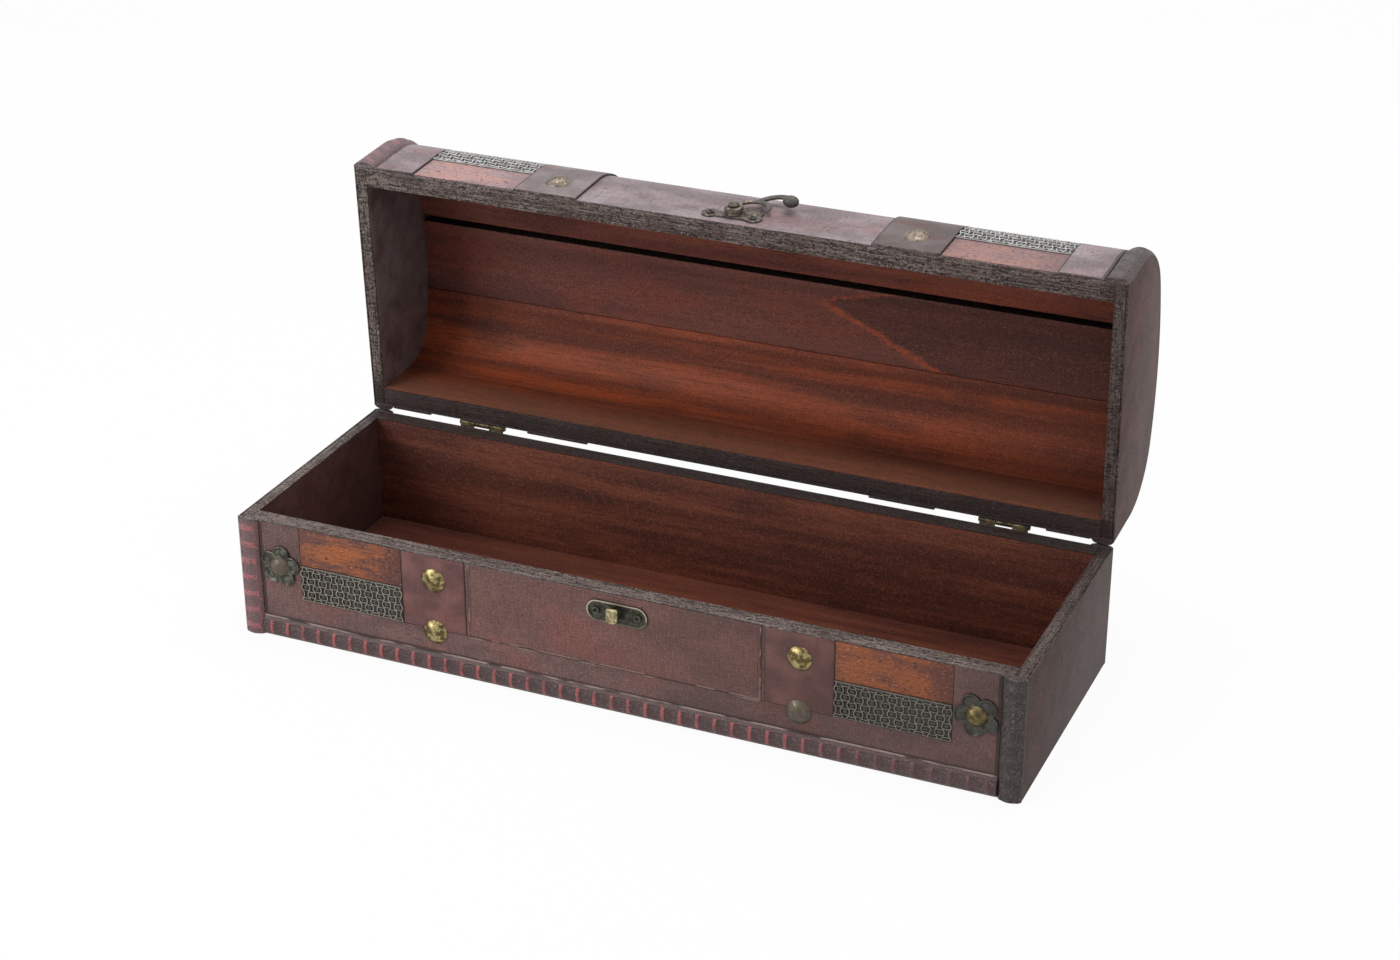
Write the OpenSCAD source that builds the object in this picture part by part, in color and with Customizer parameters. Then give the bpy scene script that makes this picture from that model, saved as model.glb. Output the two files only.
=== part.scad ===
// A wooden wine box: a shallow base and a domed lid on two butt hinges, both covered in leatherette,
// with straps, tacks, woven metal panels and a swing hook clasp on the front.
// It is drawn open, with the lid leaning back on its end bands.
// The origin is the middle of the base's underside. X runs along the box, Y to the hinges, Z up.
// The lid's own pieces are drawn with their rim at Z = 0, and lid_place() puts them on the hinges.
// Clasp and catch pieces are drawn flat, with Z pointing out of the front, and put on it last.

/* [Box] */
// Length over the end coverings
box_len = 360; // [300:1:430]
// Depth over the front and back coverings
box_dep = 120; // [100:1:150]
// Height of the base
base_h = 56.5; // [48:0.5:75]
// Height of the dome's covering above the lid's rim
lid_rise = 58.2; // [50:0.1:75]
// Gap between the two rims when the lid is shut
seam_gap = 0.3; // [0.2:0.1:1]
// Angle that the lid opens to
open_angle = 87.3; // [80:0.1:95]

/* [Boards] */
// Thickness of the base's front and back boards
wall_t = 7; // [5:0.1:9]
// Thickness of the lid's rails and staves
lid_wall_t = 8; // [5:0.1:9]
// Thickness of the end boards
end_t = 5.2; // [4:0.1:8]
// Thickness of the floor board
floor_t = 5; // [3:0.1:8]
// Thickness of the leatherette covering
skin_t = 0.8; // [0.5:0.1:1.5]

/* [Dome] */
// Radius of the dome's two shoulders, at the covering
shoulder_r = 29.4; // [20:0.1:32]
// Height of the crown above the tops of the shoulders
crown_h = 4; // [2:0.1:8]
// Place of the open slot between the front and top staves
slot_y = -16.7; // [-20:0.1:-12]
// Width of that slot
slot_w = 3; // [1:0.1:5]
// Place of the fine joint between the top and back staves
plank_joint_y = 19.5; // [12:0.1:20]
// Width of that joint
plank_gap = 0.3; // [0.2:0.1:1]

/* [Strips and bands] */
// Width of the corner strips and of the lid's end bands
band_w = 10; // [6:0.5:14]
// Height of their rounded backs above the covering
band_raise = 3.1; // [2.5:0.1:4]
// Thickness of every rounded strip at its edges
bead_edge = 0.6; // [0.3:0.1:1]
// Bevel on the ends of strips and bands where they meet at the seam
bevel = 0.8; // [0.6:0.1:1.5]
// Height of the embossed strip along the bottom of the front
strip_h = 9.5; // [6:0.5:12]
// Height of that strip's rounded back above the covering
strip_raise = 2.6; // [1.5:0.1:4]

/* [Straps and panels] */
// Distance of the middle of each strap from the end of the box
strap_inset = 96; // [80:1:105]
// Width of the straps
strap_w = 30.5; // [22:0.5:36]
// Thickness of the lid's straps
strap_t = 1; // [0.5:0.1:1.5]
// Thickness of the orange panels and of everything that is laid flat on the base's front
panel_t = 0.4; // [0.3:0.1:0.8]
// Thickness of the woven metal panels
mesh_t = 1.2; // [0.8:0.1:2]
// Gap between pieces that lie beside each other on the covering
lay_gap = 0.3; // [0.1:0.1:0.6]
// Distance from the base's rim down to the top of its woven panels
mesh_drop = 18.5; // [12:0.5:22]
// Height of the base's woven panels
mesh_h = 17; // [10:0.5:18]
// Distance from each rim to the panel beside it
rim_margin = 0.6; // [0.3:0.1:2]
// Height at which the lid's orange panels end and its woven panels start
lid_panel_top = 19; // [12:0.5:20]
// Place on the dome where the lid's woven panels end
lid_mesh_end_y = -38; // [-42:1:-30]
// Gap between the centre panel and the straps beside it
centre_gap = 1.5; // [0.5:0.5:4]

/* [Tacks and rosettes] */
// Diameter of a strap tack's head
tack_d = 11.5; // [8:0.5:14]
// Height of a strap tack's head
tack_h = 2.6; // [1.5:0.1:4]
// Distance of the upper base tacks below the rim
tack_drop = 12; // [9:0.5:16]
// Distance of the lower base tacks above the embossed strip
tack_rise = 10; // [7:0.5:12]
// Height of the lid's front tacks above its rim
lid_tack_z = 14; // [8:0.5:16]
// Distance of the tacks on the crown from its middle
crown_tack_y = 23.5; // [23:0.5:26]
// Distance of a rosette's middle from the end of the box
rosette_inset = 20.2; // [20.1:0.1:26]
// Distance of a rosette's middle below the rim
rosette_drop = 20.5; // [14:0.5:24]
// Radius of each of a rosette's five petals
petal_r = 4.2; // [3:0.1:4.6]
// Distance of the petals' middles from the rosette's middle
petal_ring_r = 5.8; // [4:0.1:6.2]
// Thickness of a rosette
rosette_t = 1.4; // [0.8:0.1:2]
// Diameter of a rosette nail's head
rosette_nail_d = 9.5; // [7:0.5:10]
// Diameter of the shanks of the tacks, nails and pins
shank_d = 1.8; // [1:0.1:2.2]
// Depth of the shanks in the boards
shank_bite = 3.4; // [2:0.1:3.8]

/* [Catch] */
// Place of the catch along the box
catch_x = 2.8; // [-10:0.1:10]
// Distance of the catch's knob below the base's rim
knob_drop = 9; // [7.5:0.1:12]
// Width of the knob's square head
knob_w = 4.8; // [4:0.1:5.5]
// Height of the knob above the covering
knob_out = 5.5; // [4.6:0.1:6]
// Length of the catch plate
catch_len = 28; // [24:0.5:34]
// Height of the catch plate
catch_h = 10; // [9:0.5:12]
// Thickness of the catch plate and the clasp plate
plate_t = 0.8; // [0.6:0.1:1]
// Distance of the catch plate's pins from its middle
catch_pin_x = 9.5; // [8:0.1:10.5]

/* [Clasp] */
// Place of the hook's pivot along the box
pivot_x = 2.2; // [-10:0.1:10]
// Height of the hook's pivot above the lid's rim
pivot_z = 10; // [8:0.1:12]
// Distance of the clasp plate's pins from its pivot
clasp_pin_x = 10; // [8.5:0.1:11]
// Height of the clasp plate's pins below its pivot
clasp_pin_drop = 2.4; // [1.5:0.1:3]
// Diameter of the rivet that the hook turns on
rivet_d = 3.2; // [2.4:0.1:3.6]
// Running clearance around the rivet and around the hinge pins
run_clear = 0.05; // [0.03:0.01:0.08]
// Height of the hook's underside above the covering
arm_lift = 2; // [1.9:0.1:2.4]
// Thickness of the hook
arm_t = 1.8; // [1.2:0.1:2]
// Width of the hook's curved arms
arm_w = 2.6; // [2:0.1:3]
// Clearance between the hook and the knob that it catches
hook_clear = 0.45; // [0.3:0.05:0.6]
// Radius of the ball at the hook's end
ball_r = 2.6; // [2:0.1:2.6]

/* [Hinges] */
// Distance of the left hinge's middle from the left end of the box
hinge_inset_left = 57; // [30:1:60]
// Distance of the right hinge's middle from the right end of the box
hinge_inset_right = 49; // [30:1:60]
// Length of a hinge
hinge_w = 22; // [18:0.5:26]
// Distance from the hinge pin to the far edge of a leaf
leaf_h = 15; // [12:0.5:18]
// Thickness of a hinge leaf
leaf_t = 0.8; // [0.6:0.1:1]
// Radius of a hinge's knuckles
knuckle_r = 1.4; // [1.3:0.1:1.6]
// Radius of a hinge pin
hinge_pin_r = 0.7; // [0.5:0.05:0.8]
// Gap around the knuckles
knuckle_gap = 0.3; // [0.2:0.05:0.5]

/* [Hidden] */
$fn = 48;
half_len = box_len / 2;
skin_y = box_dep / 2;
board_x = half_len - skin_t;
board_y = skin_y - skin_t;
inside_x = board_x - end_t;
inside_y = board_y - wall_t;
lid_inside_y = board_y - lid_wall_t;

// The dome: two shoulder arcs and a crown arc that meets them smoothly
shoulder_y = skin_y - shoulder_r;
rail_h = lid_rise - shoulder_r - crown_h;
crown_r = (pow(shoulder_y, 2) + pow(shoulder_r + crown_h, 2) - pow(shoulder_r, 2)) / (2 * crown_h);
crown_mid_z = lid_rise - crown_r;
crown_half = asin(shoulder_y / (crown_r - shoulder_r));
shoulder_sweep = 90 - crown_half;
shoulder_steps = 12;
crown_steps = 12;

// The hinge: its pin stands behind the covering, at the height that lets the bevelled ends of the
// lid's bands just pass over the base's corner strips as the lid turns, and end close above them
pass_gap = 0.07;
rim_z = base_h + seam_gap;
hinge_back = knuckle_r + knuckle_gap;
hinge_y = skin_y + hinge_back;
band_over = band_raise - hinge_back;
end_rise = seam_gap + bevel;
hinge_z = base_h + (pow(band_over, 2) + pow(end_rise, 2) - pow(pass_gap, 2)) / (2 * (end_rise - pass_gap));
hinge_xs = [-(half_len - hinge_inset_left), half_len - hinge_inset_right];
leaf_screw_x = hinge_w / 2 - 4;
leaf_screw_z = leaf_h / 2 + 1;
screw_head_r = 1.9;
screw_head_h = 0.6;

// Places of what lies on the front
strap_x = half_len - strap_inset;
panel_x0 = strap_x + strap_w / 2 + lay_gap;
mesh_top = base_h - mesh_drop;
mesh_bottom = mesh_top - mesh_h;
rosette_x = half_len - rosette_inset;
end_piece_x = rosette_x - petal_ring_r - petal_r;
panel_x1 = end_piece_x - lay_gap;
laid_end_x = half_len - band_w - lay_gap;
rosette_z = base_h - rosette_drop;
catch_z = base_h - knob_drop;
catch_field_t = 0.5;
catch_border = 1.3;
pin_head_r = 1.6;
pin_head_h = 0.6;
rosette_nail_h = 2.8;
drill_clear = 0.05;
tack_places = [for (side = [-1, 1], z = [base_h - tack_drop, strip_h + tack_rise]) [side * strap_x, z]];
lid_tack_places = [for (side = [-1, 1]) [side * strap_x, lid_tack_z]];
crown_tack_places = [for (side = [-1, 1], y = [-crown_tack_y, crown_tack_y]) [side * strap_x, y]];
rosette_places = [for (side = [-1, 1]) [side * rosette_x, rosette_z]];
catch_pin_places = [for (side = [-1, 1]) [catch_x + side * catch_pin_x, catch_z]];
clasp_pin_places = [for (side = [-1, 1]) [pivot_x + side * clasp_pin_x, pivot_z - clasp_pin_drop]];

// The hook: an arch that leads from the hub to the tip, and a tail that curls over to the ball.
// The knob sits between the two, as far from the pivot as it is when the lid is shut.
knob_reach = norm([catch_x - pivot_x, knob_drop + seam_gap + pivot_z]);
hub_r = 4.2;
hub_rise = 0.4;
arch_reach = 8;
arch_angle = 22;
arch_r = knob_reach - knob_w / 2 - hook_clear - arch_reach;
tail_reach = knob_reach - 1.85;
tail_angle = 29.5;
tail_r = 7.9;
tail_w = arm_w - 0.2;
tail_ends = [7, 168];
arch_ends = [-8, 200];
ball_lift = arm_lift + ball_r + 0.9;
arch_mid = arch_reach * [cos(arch_angle), sin(arch_angle)];
tail_mid = tail_reach * [cos(tail_angle), sin(tail_angle)];
collar_r = 3.6;
lobe_r = 5.2;
disc_r = norm(arch_mid - [clasp_pin_x, -clasp_pin_drop]) - pin_head_r - 0.1;
disc_h = 1;
rivet_head_r = 2.6;
rivet_head_h = 0.8;
axial_gap = 0.1;

// Colours
wood = "#6b3524";
leatherette = "#5a3a36";
end_leatherette = "#5c4f4b";
strap_leather = "#4d3836";
orange = "#a4502c";
woven = "#77736a";
brass = "#9a8648";
bronze = "#5d5c50";
trim = "#5f4642";

// Outline of the dome in Y and Z, from the front rim over the top to the back rim,
// grown outwards from the covering by d
dome_stations = concat(
    [for (i = [0 : shoulder_steps])
        [-shoulder_y, rail_h, shoulder_r, 180 - i * shoulder_sweep / shoulder_steps]],
    [for (i = [1 : crown_steps - 1])
        [0, crown_mid_z, crown_r, 90 + crown_half - i * 2 * crown_half / crown_steps]],
    [for (i = [0 : shoulder_steps])
        [shoulder_y, rail_h, shoulder_r, shoulder_sweep - i * shoulder_sweep / shoulder_steps]]);
function dome(d) = concat(
    [[-(skin_y + d), 0]],
    [for (s = dome_stations) [s[0] + (s[2] + d) * cos(s[3]), s[1] + (s[2] + d) * sin(s[3])]],
    [[skin_y + d, 0]]);
function reversed(list) = [for (i = [len(list) - 1 : -1 : 0]) list[i]];

// Cross-section of a rounded strip: w wide, h high in the middle and bead_edge high at its edges
bead_steps = 8;
function bead(w, h) =
    let (rise = h - bead_edge,
         r = (w * w / 4 + rise * rise) / (2 * rise),
         half = asin(w / 2 / r))
    concat(
        [[-w / 2, 0]],
        [for (i = [0 : bead_steps])
            let (t = -half + 2 * half * i / bead_steps) [r * sin(t), h - r + r * cos(t)]],
        [[w / 2, 0]]);

// Outline of a plate with two round ends
end_steps = 12;
function stadium(len, h) =
    [for (side = [1, -1], i = [0 : end_steps])
        let (t = (side > 0 ? -90 : 90) + 180 * i / end_steps)
        [side * (len - h) / 2 + h / 2 * cos(t), h / 2 * sin(t)]];

// Runs an outline drawn in Y and Z along the box from x0 to x1
module run_x(x0, x1) {
    translate([x0, 0, 0]) rotate([90, 0, 90]) linear_extrude(x1 - x0) children();
}

module block(x0, x1, y0, y1, z0, z1) {
    translate([x0, y0, z0]) cube([x1 - x0, y1 - y0, z1 - z0]);
}

// The dome's outline between two depths, as a layer
module dome_layer(d0, d1) {
    polygon(concat(dome(d1), reversed(dome(d0))));
}

// The part of such a layer in front of y1 and between two heights
module dome_part(d0, d1, y0, y1, z0, z1) {
    intersection() {
        dome_layer(d0, d1);
        translate([y0, z0]) square([y1 - y0, z1 - z0]);
    }
}

// Places that fix a piece to a surface, with Z pointing out of it
module on_front(x, z) {
    translate([x, -skin_y, z]) rotate([90, 0, 0]) children();
}
module on_back(x, z) {
    translate([x, skin_y, z]) rotate([-90, 0, 0]) children();
}
module on_crown(x, y) {
    lean = asin(y / crown_r);
    translate([x, y, crown_mid_z + crown_r * cos(lean)]) rotate([-lean, 0, 0]) children();
}
module lid_place() {
    translate([0, hinge_y, hinge_z]) rotate([-open_angle, 0, 0])
        translate([0, -hinge_y, rim_z - hinge_z]) children();
}

// A domed cap that stands seat above the surface
module cap(r, h, seat) {
    ball = (r * r + h * h) / (2 * h);
    translate([0, 0, seat]) intersection() {
        translate([0, 0, h - ball]) sphere(ball);
        cylinder(r = r + 1, h = h + 1);
    }
}

// A nail: a domed head on top of what it holds, which is stack thick, and a shank in the board
module nail(head_r, head_h, stack, shank_r = shank_d / 2) {
    cap(head_r, head_h, stack);
    translate([0, 0, -skin_t - shank_bite])
        cylinder(r = shank_r, h = skin_t + shank_bite + stack + head_h / 3);
}
module drill(shank_r = shank_d / 2) {
    translate([0, 0, -skin_t - shank_bite - 0.2])
        cylinder(r = shank_r + drill_clear, h = skin_t + shank_bite + 10);
}

// Every hole that the base's front pieces share
module front_drills() {
    for (p = concat(tack_places, rosette_places, catch_pin_places, [[catch_x, catch_z]]))
        on_front(p[0], p[1]) drill();
}
module lid_front_drills() {
    for (p = concat(lid_tack_places, clasp_pin_places)) on_front(p[0], p[1]) drill();
    on_front(pivot_x, pivot_z) drill(rivet_d / 2);
}
module crown_drills() {
    for (p = crown_tack_places) on_crown(p[0], p[1]) drill();
}
// side is -1 for the base's leaves and 1 for the lid's, and z is the height of the hinge pin
module hinge_drills(side, z) {
    for (x = hinge_xs, s = [-1, 1])
        on_back(x + s * leaf_screw_x, z + side * leaf_screw_z) drill();
}

// The base's wooden boards
module floor_board() {
    color(wood) block(-inside_x, inside_x, -inside_y, inside_y, 0, floor_t);
}
module front_board() {
    color(wood) difference() {
        block(-inside_x, inside_x, -board_y, -inside_y, 0, base_h);
        front_drills();
    }
}
module back_board() {
    color(wood) difference() {
        block(-inside_x, inside_x, inside_y, board_y, 0, base_h);
        hinge_drills(-1, hinge_z);
    }
}
module end_board(side) {
    color(wood) mirror([side < 0 ? 1 : 0, 0, 0]) block(inside_x, board_x, -board_y, board_y, 0, base_h);
}

// The base's covering
module front_covering() {
    color(leatherette) difference() {
        block(-board_x, board_x, -skin_y, -board_y, 0, base_h);
        front_drills();
    }
}
module back_covering() {
    color(leatherette) difference() {
        block(-board_x, board_x, board_y, skin_y, 0, base_h);
        hinge_drills(-1, hinge_z);
    }
}
module end_covering(side) {
    color(end_leatherette) mirror([side < 0 ? 1 : 0, 0, 0])
        block(board_x, half_len, -skin_y, skin_y, 0, base_h);
}

// Cuts the bevel off the end of a strip on the back, which stands above Z = 0
module end_bevel() {
    crest = skin_y + band_raise;
    run_x(-half_len - 1, half_len + 1)
        polygon([[crest - bevel - 1, -1], [crest + 1, -1], [crest + 1, bevel + 1]]);
}

// Rounded strips on the base's corners and along the bottom of its front
module corner_strip(side, back) {
    color(trim) mirror([0, back < 0 ? 1 : 0, 0]) difference() {
        translate([side * (half_len - band_w / 2), skin_y, 0])
            linear_extrude(base_h) polygon(bead(band_w, band_raise));
        translate([0, 0, base_h]) mirror([0, 0, 1]) end_bevel();
    }
}
module bottom_strip() {
    color(trim) run_x(-laid_end_x, laid_end_x)
        translate([-skin_y, strip_h / 2]) rotate(90) polygon(bead(strip_h, strip_raise));
}

// A frame of leatherette around what is laid on the base's front: it runs above the embossed strip
// and turns up beside both corner strips, under the rosettes
module front_frame() {
    color(leatherette) difference() {
        block(-laid_end_x, laid_end_x, -skin_y - panel_t, -skin_y, strip_h + lay_gap, base_h);
        block(-end_piece_x, end_piece_x, -skin_y - 2 * panel_t, -skin_y + 1, mesh_bottom - lay_gap, base_h + 1);
        front_drills();
    }
}

// Straps and panels on the base's front
module strap(side) {
    color(strap_leather) difference() {
        block(side * strap_x - strap_w / 2, side * strap_x + strap_w / 2,
            -skin_y - panel_t, -skin_y, mesh_bottom, base_h);
        front_drills();
    }
}
module panel(side) {
    color(orange) mirror([side < 0 ? 1 : 0, 0, 0])
        block(panel_x0, panel_x1, -skin_y - panel_t, -skin_y, mesh_top + lay_gap, base_h - rim_margin);
}
module woven_panel(side) {
    color(woven) mirror([side < 0 ? 1 : 0, 0, 0])
        block(panel_x0, panel_x1, -skin_y - mesh_t, -skin_y, mesh_bottom, mesh_top);
}
module centre_panel() {
    end_x = strap_x - strap_w / 2 - centre_gap;
    color(leatherette) difference() {
        block(-end_x, end_x, -skin_y - panel_t, -skin_y, mesh_bottom, base_h - rim_margin);
        front_drills();
    }
}
module strap_tacks() {
    color(brass) for (p = tack_places) on_front(p[0], p[1]) nail(tack_d / 2, tack_h, panel_t);
}

// Rosettes with five petals, each held by a nail
module rosette(side) {
    color(bronze) on_front(side * rosette_x, rosette_z) difference() {
        translate([0, 0, panel_t]) linear_extrude(rosette_t) {
            circle(r = petal_ring_r);
            for (i = [0 : 4]) rotate(43 + 72 * i) translate([petal_ring_r, 0]) circle(r = petal_r);
        }
        drill();
    }
}
module rosette_nails() {
    color(brass) for (p = rosette_places)
        on_front(p[0], p[1]) nail(rosette_nail_d / 2, rosette_nail_h, panel_t + rosette_t);
}

// The catch: an oblong plate with a raised border, its pins and the square knob
module catch_plate() {
    color(bronze) on_front(catch_x, catch_z) difference() {
        translate([0, 0, panel_t]) linear_extrude(plate_t) polygon(stadium(catch_len, catch_h));
        translate([0, 0, panel_t + catch_field_t]) linear_extrude(plate_t)
            polygon(stadium(catch_len - 2 * catch_border, catch_h - 2 * catch_border));
        drill();
        for (s = [-1, 1]) translate([s * catch_pin_x, 0, 0]) drill();
    }
}
module catch_knob() {
    knob_base = panel_t + catch_field_t;
    color(brass) on_front(catch_x, catch_z) {
        translate([-knob_w / 2, -knob_w / 2, knob_base]) cube([knob_w, knob_w, knob_out - knob_base]);
        translate([0, 0, -skin_t - shank_bite])
            cylinder(r = shank_d / 2, h = skin_t + shank_bite + knob_base + 1);
    }
}
module catch_pins() {
    color(bronze) for (p = catch_pin_places)
        on_front(p[0], p[1]) nail(pin_head_r, pin_head_h, panel_t + catch_field_t);
}

// Hinges. One leaf, drawn around the pin, which runs along X: side is -1 for the base's leaf,
// which has the two outer knuckles, and 1 for the lid's leaf, which has the middle one.
module hinge_leaf(side) {
    seg = (hinge_w - 2 * knuckle_gap) / 3;
    places = side < 0 ? [-(seg + knuckle_gap), seg + knuckle_gap] : [0];
    edge = knuckle_r + knuckle_gap;
    difference() {
        union() {
            translate([-hinge_w / 2, -hinge_back, side > 0 ? edge : -leaf_h])
                cube([hinge_w, leaf_t, leaf_h - edge]);
            for (x = places) {
                translate([x - seg / 2, -hinge_back + 0.2, side > 0 ? 0 : -edge - 1])
                    cube([seg, leaf_t - 0.2, edge + 1]);
                translate([x - seg / 2, 0, 0]) rotate([0, 90, 0]) cylinder(r = knuckle_r, h = seg);
            }
        }
        translate([-hinge_w, 0, 0]) rotate([0, 90, 0])
            cylinder(r = hinge_pin_r + run_clear, h = 2 * hinge_w);
        for (s = [-1, 1])
            translate([s * leaf_screw_x, -hinge_back, side * leaf_screw_z]) rotate([-90, 0, 0]) drill();
    }
}
module leaf_screws(side, z) {
    for (x = hinge_xs, s = [-1, 1])
        on_back(x + s * leaf_screw_x, z + side * leaf_screw_z)
            nail(screw_head_r, screw_head_h, leaf_t);
}
module hinge_pins() {
    head_h = 0.6;
    reach = hinge_w / 2 + axial_gap;
    color(brass) for (x = hinge_xs) translate([x, hinge_y, hinge_z]) rotate([0, 90, 0]) {
        translate([0, 0, -reach - head_h / 2]) cylinder(r = hinge_pin_r, h = 2 * reach + head_h);
        translate([0, 0, reach]) cylinder(r = hinge_pin_r + 0.4, h = head_h);
        translate([0, 0, -reach - head_h]) cylinder(r = hinge_pin_r + 0.4, h = head_h);
    }
}

// The lid's boards and staves
module lid_rail(back) {
    lid_place() difference() {
        block(-inside_x, inside_x, back > 0 ? lid_inside_y : -board_y, back > 0 ? board_y : -lid_inside_y,
            0, rail_h);
        if (back > 0) hinge_drills(1, hinge_z - rim_z);
        else lid_front_drills();
    }
}
module lid_end_board(side) {
    color(wood) lid_place() mirror([side < 0 ? 1 : 0, 0, 0])
        run_x(inside_x, board_x) polygon(dome(-skin_t));
}
// A stave of the dome between y0 and y1, above the rails
module stave(y0, y1) {
    lid_place() difference() {
        run_x(-inside_x, inside_x) dome_part(-skin_t - lid_wall_t, -skin_t, y0, y1, rail_h, lid_rise);
        crown_drills();
    }
}

// The lid's covering, bands, straps and panels
module lid_covering() {
    color(leatherette) lid_place() difference() {
        run_x(-board_x, board_x) dome_layer(-skin_t, 0);
        lid_front_drills();
        crown_drills();
        hinge_drills(1, hinge_z - rim_z);
    }
}
module lid_end_covering(side) {
    color(end_leatherette) lid_place() mirror([side < 0 ? 1 : 0, 0, 0])
        run_x(board_x, half_len) polygon(dome(0));
}
// A rounded band that runs up the front, over the dome and down the back
module lid_band(side) {
    section = bead(band_w, band_raise);
    m = len(section);
    n = len(dome(0));
    color(trim) lid_place() difference() {
        polyhedron(
            points = [for (s = section, p = dome(s[1])) [side * (half_len - band_w / 2) + s[0], p[0], p[1]]],
            faces = concat(
                [for (j = [0 : m - 1], i = [0 : n - 2])
                    let (k = (j + 1) % m) [j * n + i, j * n + i + 1, k * n + i + 1, k * n + i]],
                [[for (j = [0 : m - 1]) j * n]],
                [[for (j = [m - 1 : -1 : 0]) j * n + n - 1]]));
        for (s = [0, 1]) mirror([0, s, 0]) end_bevel();
    }
}
module lid_strap(side) {
    color(strap_leather) lid_place() difference() {
        run_x(side * strap_x - strap_w / 2, side * strap_x + strap_w / 2) dome_layer(0, strap_t);
        lid_front_drills();
        crown_drills();
    }
}
// Two pieces of leatherette that run over the dome between the panels and the bands
module lid_end_straps() {
    color(leatherette) lid_place() for (side = [0, 1]) mirror([side, 0, 0])
        run_x(end_piece_x, laid_end_x) dome_layer(0, strap_t);
}
module lid_panel(side) {
    color(orange) lid_place() mirror([side < 0 ? 1 : 0, 0, 0])
        run_x(panel_x0, panel_x1) dome_part(0, panel_t, -skin_y - 5, 0, rim_margin, lid_panel_top);
}
module lid_woven_panel(side) {
    color(woven) lid_place() mirror([side < 0 ? 1 : 0, 0, 0])
        run_x(panel_x0, panel_x1)
            dome_part(0, mesh_t, -skin_y - 5, lid_mesh_end_y, lid_panel_top + lay_gap, lid_rise + 5);
}
module lid_tacks() {
    color(brass) lid_place() {
        for (p = lid_tack_places) on_front(p[0], p[1]) nail(tack_d / 2, tack_h, strap_t);
        for (p = crown_tack_places) on_crown(p[0], p[1]) nail(tack_d / 2, tack_h, strap_t);
    }
}

// The clasp: a plate with three lobes, a collar and a domed disc that the hook's arch goes round,
// its pins, the rivet and the hook
module clasp_plate() {
    color(bronze) lid_place() on_front(pivot_x, pivot_z) difference() {
        union() {
            linear_extrude(plate_t) {
                circle(r = lobe_r);
                translate(arch_mid) circle(r = lobe_r);
                for (s = [-1, 1]) translate([s * clasp_pin_x, -clasp_pin_drop]) circle(r = 3.9);
                translate([-clasp_pin_x, -4.8]) square([2 * clasp_pin_x, 5]);
            }
            cylinder(r = collar_r, h = arm_lift - axial_gap);
            translate(arch_mid) cap(disc_r, disc_h, plate_t);
        }
        drill(rivet_d / 2);
        for (s = [-1, 1]) translate([s * clasp_pin_x, -clasp_pin_drop, 0]) drill();
    }
}
module clasp_pins() {
    color(bronze) lid_place() for (p = clasp_pin_places)
        on_front(p[0], p[1]) nail(pin_head_r, pin_head_h, plate_t);
}
module clasp_rivet() {
    color(bronze) lid_place() on_front(pivot_x, pivot_z)
        nail(rivet_head_r, rivet_head_h, arm_lift + arm_t + hub_rise + axial_gap, rivet_d / 2);
}
// Outline of a curved arm with its middle line at radius r, from angle a0 to a1
arc_steps = 12;
function curved_arm(r, w, a0, a1) = concat(
    [for (i = [0 : arc_steps])
        let (t = a0 + (a1 - a0) * i / arc_steps) (r + w / 2) * [cos(t), sin(t)]],
    [for (i = [arc_steps : -1 : 0])
        let (t = a0 + (a1 - a0) * i / arc_steps) (r - w / 2) * [cos(t), sin(t)]]);
module hook_arm() {
    tip_r = arch_r - arm_w / 2;
    ball_place = tail_mid + tail_r * [cos(tail_ends[0]), sin(tail_ends[0])];
    color(bronze) lid_place() on_front(pivot_x, pivot_z) difference() {
        union() {
            translate([0, 0, arm_lift]) cylinder(r = hub_r, h = arm_t + hub_rise);
            translate([0, 0, arm_lift]) linear_extrude(arm_t) {
                translate(arch_mid) {
                    polygon(curved_arm(tip_r, arm_w, arch_ends[0], arch_ends[1]));
                    translate(tip_r * [cos(arch_ends[0]), sin(arch_ends[0])])
                        circle(r = arm_w / 2 + 0.2, $fn = 12);
                }
                translate(tail_mid) polygon(curved_arm(tail_r, tail_w, tail_ends[0] + 6, tail_ends[1]));
            }
            translate([ball_place[0], ball_place[1], ball_lift]) sphere(ball_r);
        }
        translate([0, 0, arm_lift - 1]) cylinder(r = rivet_d / 2 + run_clear, h = arm_t + 3);
    }
}

floor_board();
front_board();
back_board();
end_board(-1);  // left_end_board
end_board(1);  // right_end_board
front_covering();
back_covering();
end_covering(-1);  // left_end_covering
end_covering(1);  // right_end_covering
corner_strip(-1, -1);  // front_left_corner_strip
corner_strip(1, -1);  // front_right_corner_strip
corner_strip(-1, 1);  // back_left_corner_strip
corner_strip(1, 1);  // back_right_corner_strip
bottom_strip();
front_frame();
strap(-1);  // left_strap
strap(1);  // right_strap
panel(-1);  // left_panel
panel(1);  // right_panel
woven_panel(-1);  // left_woven_panel
woven_panel(1);  // right_woven_panel
centre_panel();
strap_tacks();
rosette(-1);  // left_rosette
rosette(1);  // right_rosette
rosette_nails();
catch_plate();
catch_knob();
catch_pins();
color(brass) translate([hinge_xs[0], hinge_y, hinge_z]) hinge_leaf(-1);  // left_hinge_leaf
color(brass) translate([hinge_xs[1], hinge_y, hinge_z]) hinge_leaf(-1);  // right_hinge_leaf
color(brass) leaf_screws(-1, hinge_z);  // hinge_screws
hinge_pins();
color(wood) lid_rail(-1);  // lid_front_rail
color(wood) lid_rail(1);  // lid_back_rail
lid_end_board(-1);  // lid_left_end_board
lid_end_board(1);  // lid_right_end_board
color(wood) stave(-skin_y, slot_y - slot_w / 2);  // lid_front_stave
color(wood) stave(slot_y + slot_w / 2, plank_joint_y - plank_gap / 2);  // lid_top_stave
color(wood) stave(plank_joint_y + plank_gap / 2, skin_y);  // lid_back_stave
lid_covering();
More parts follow.
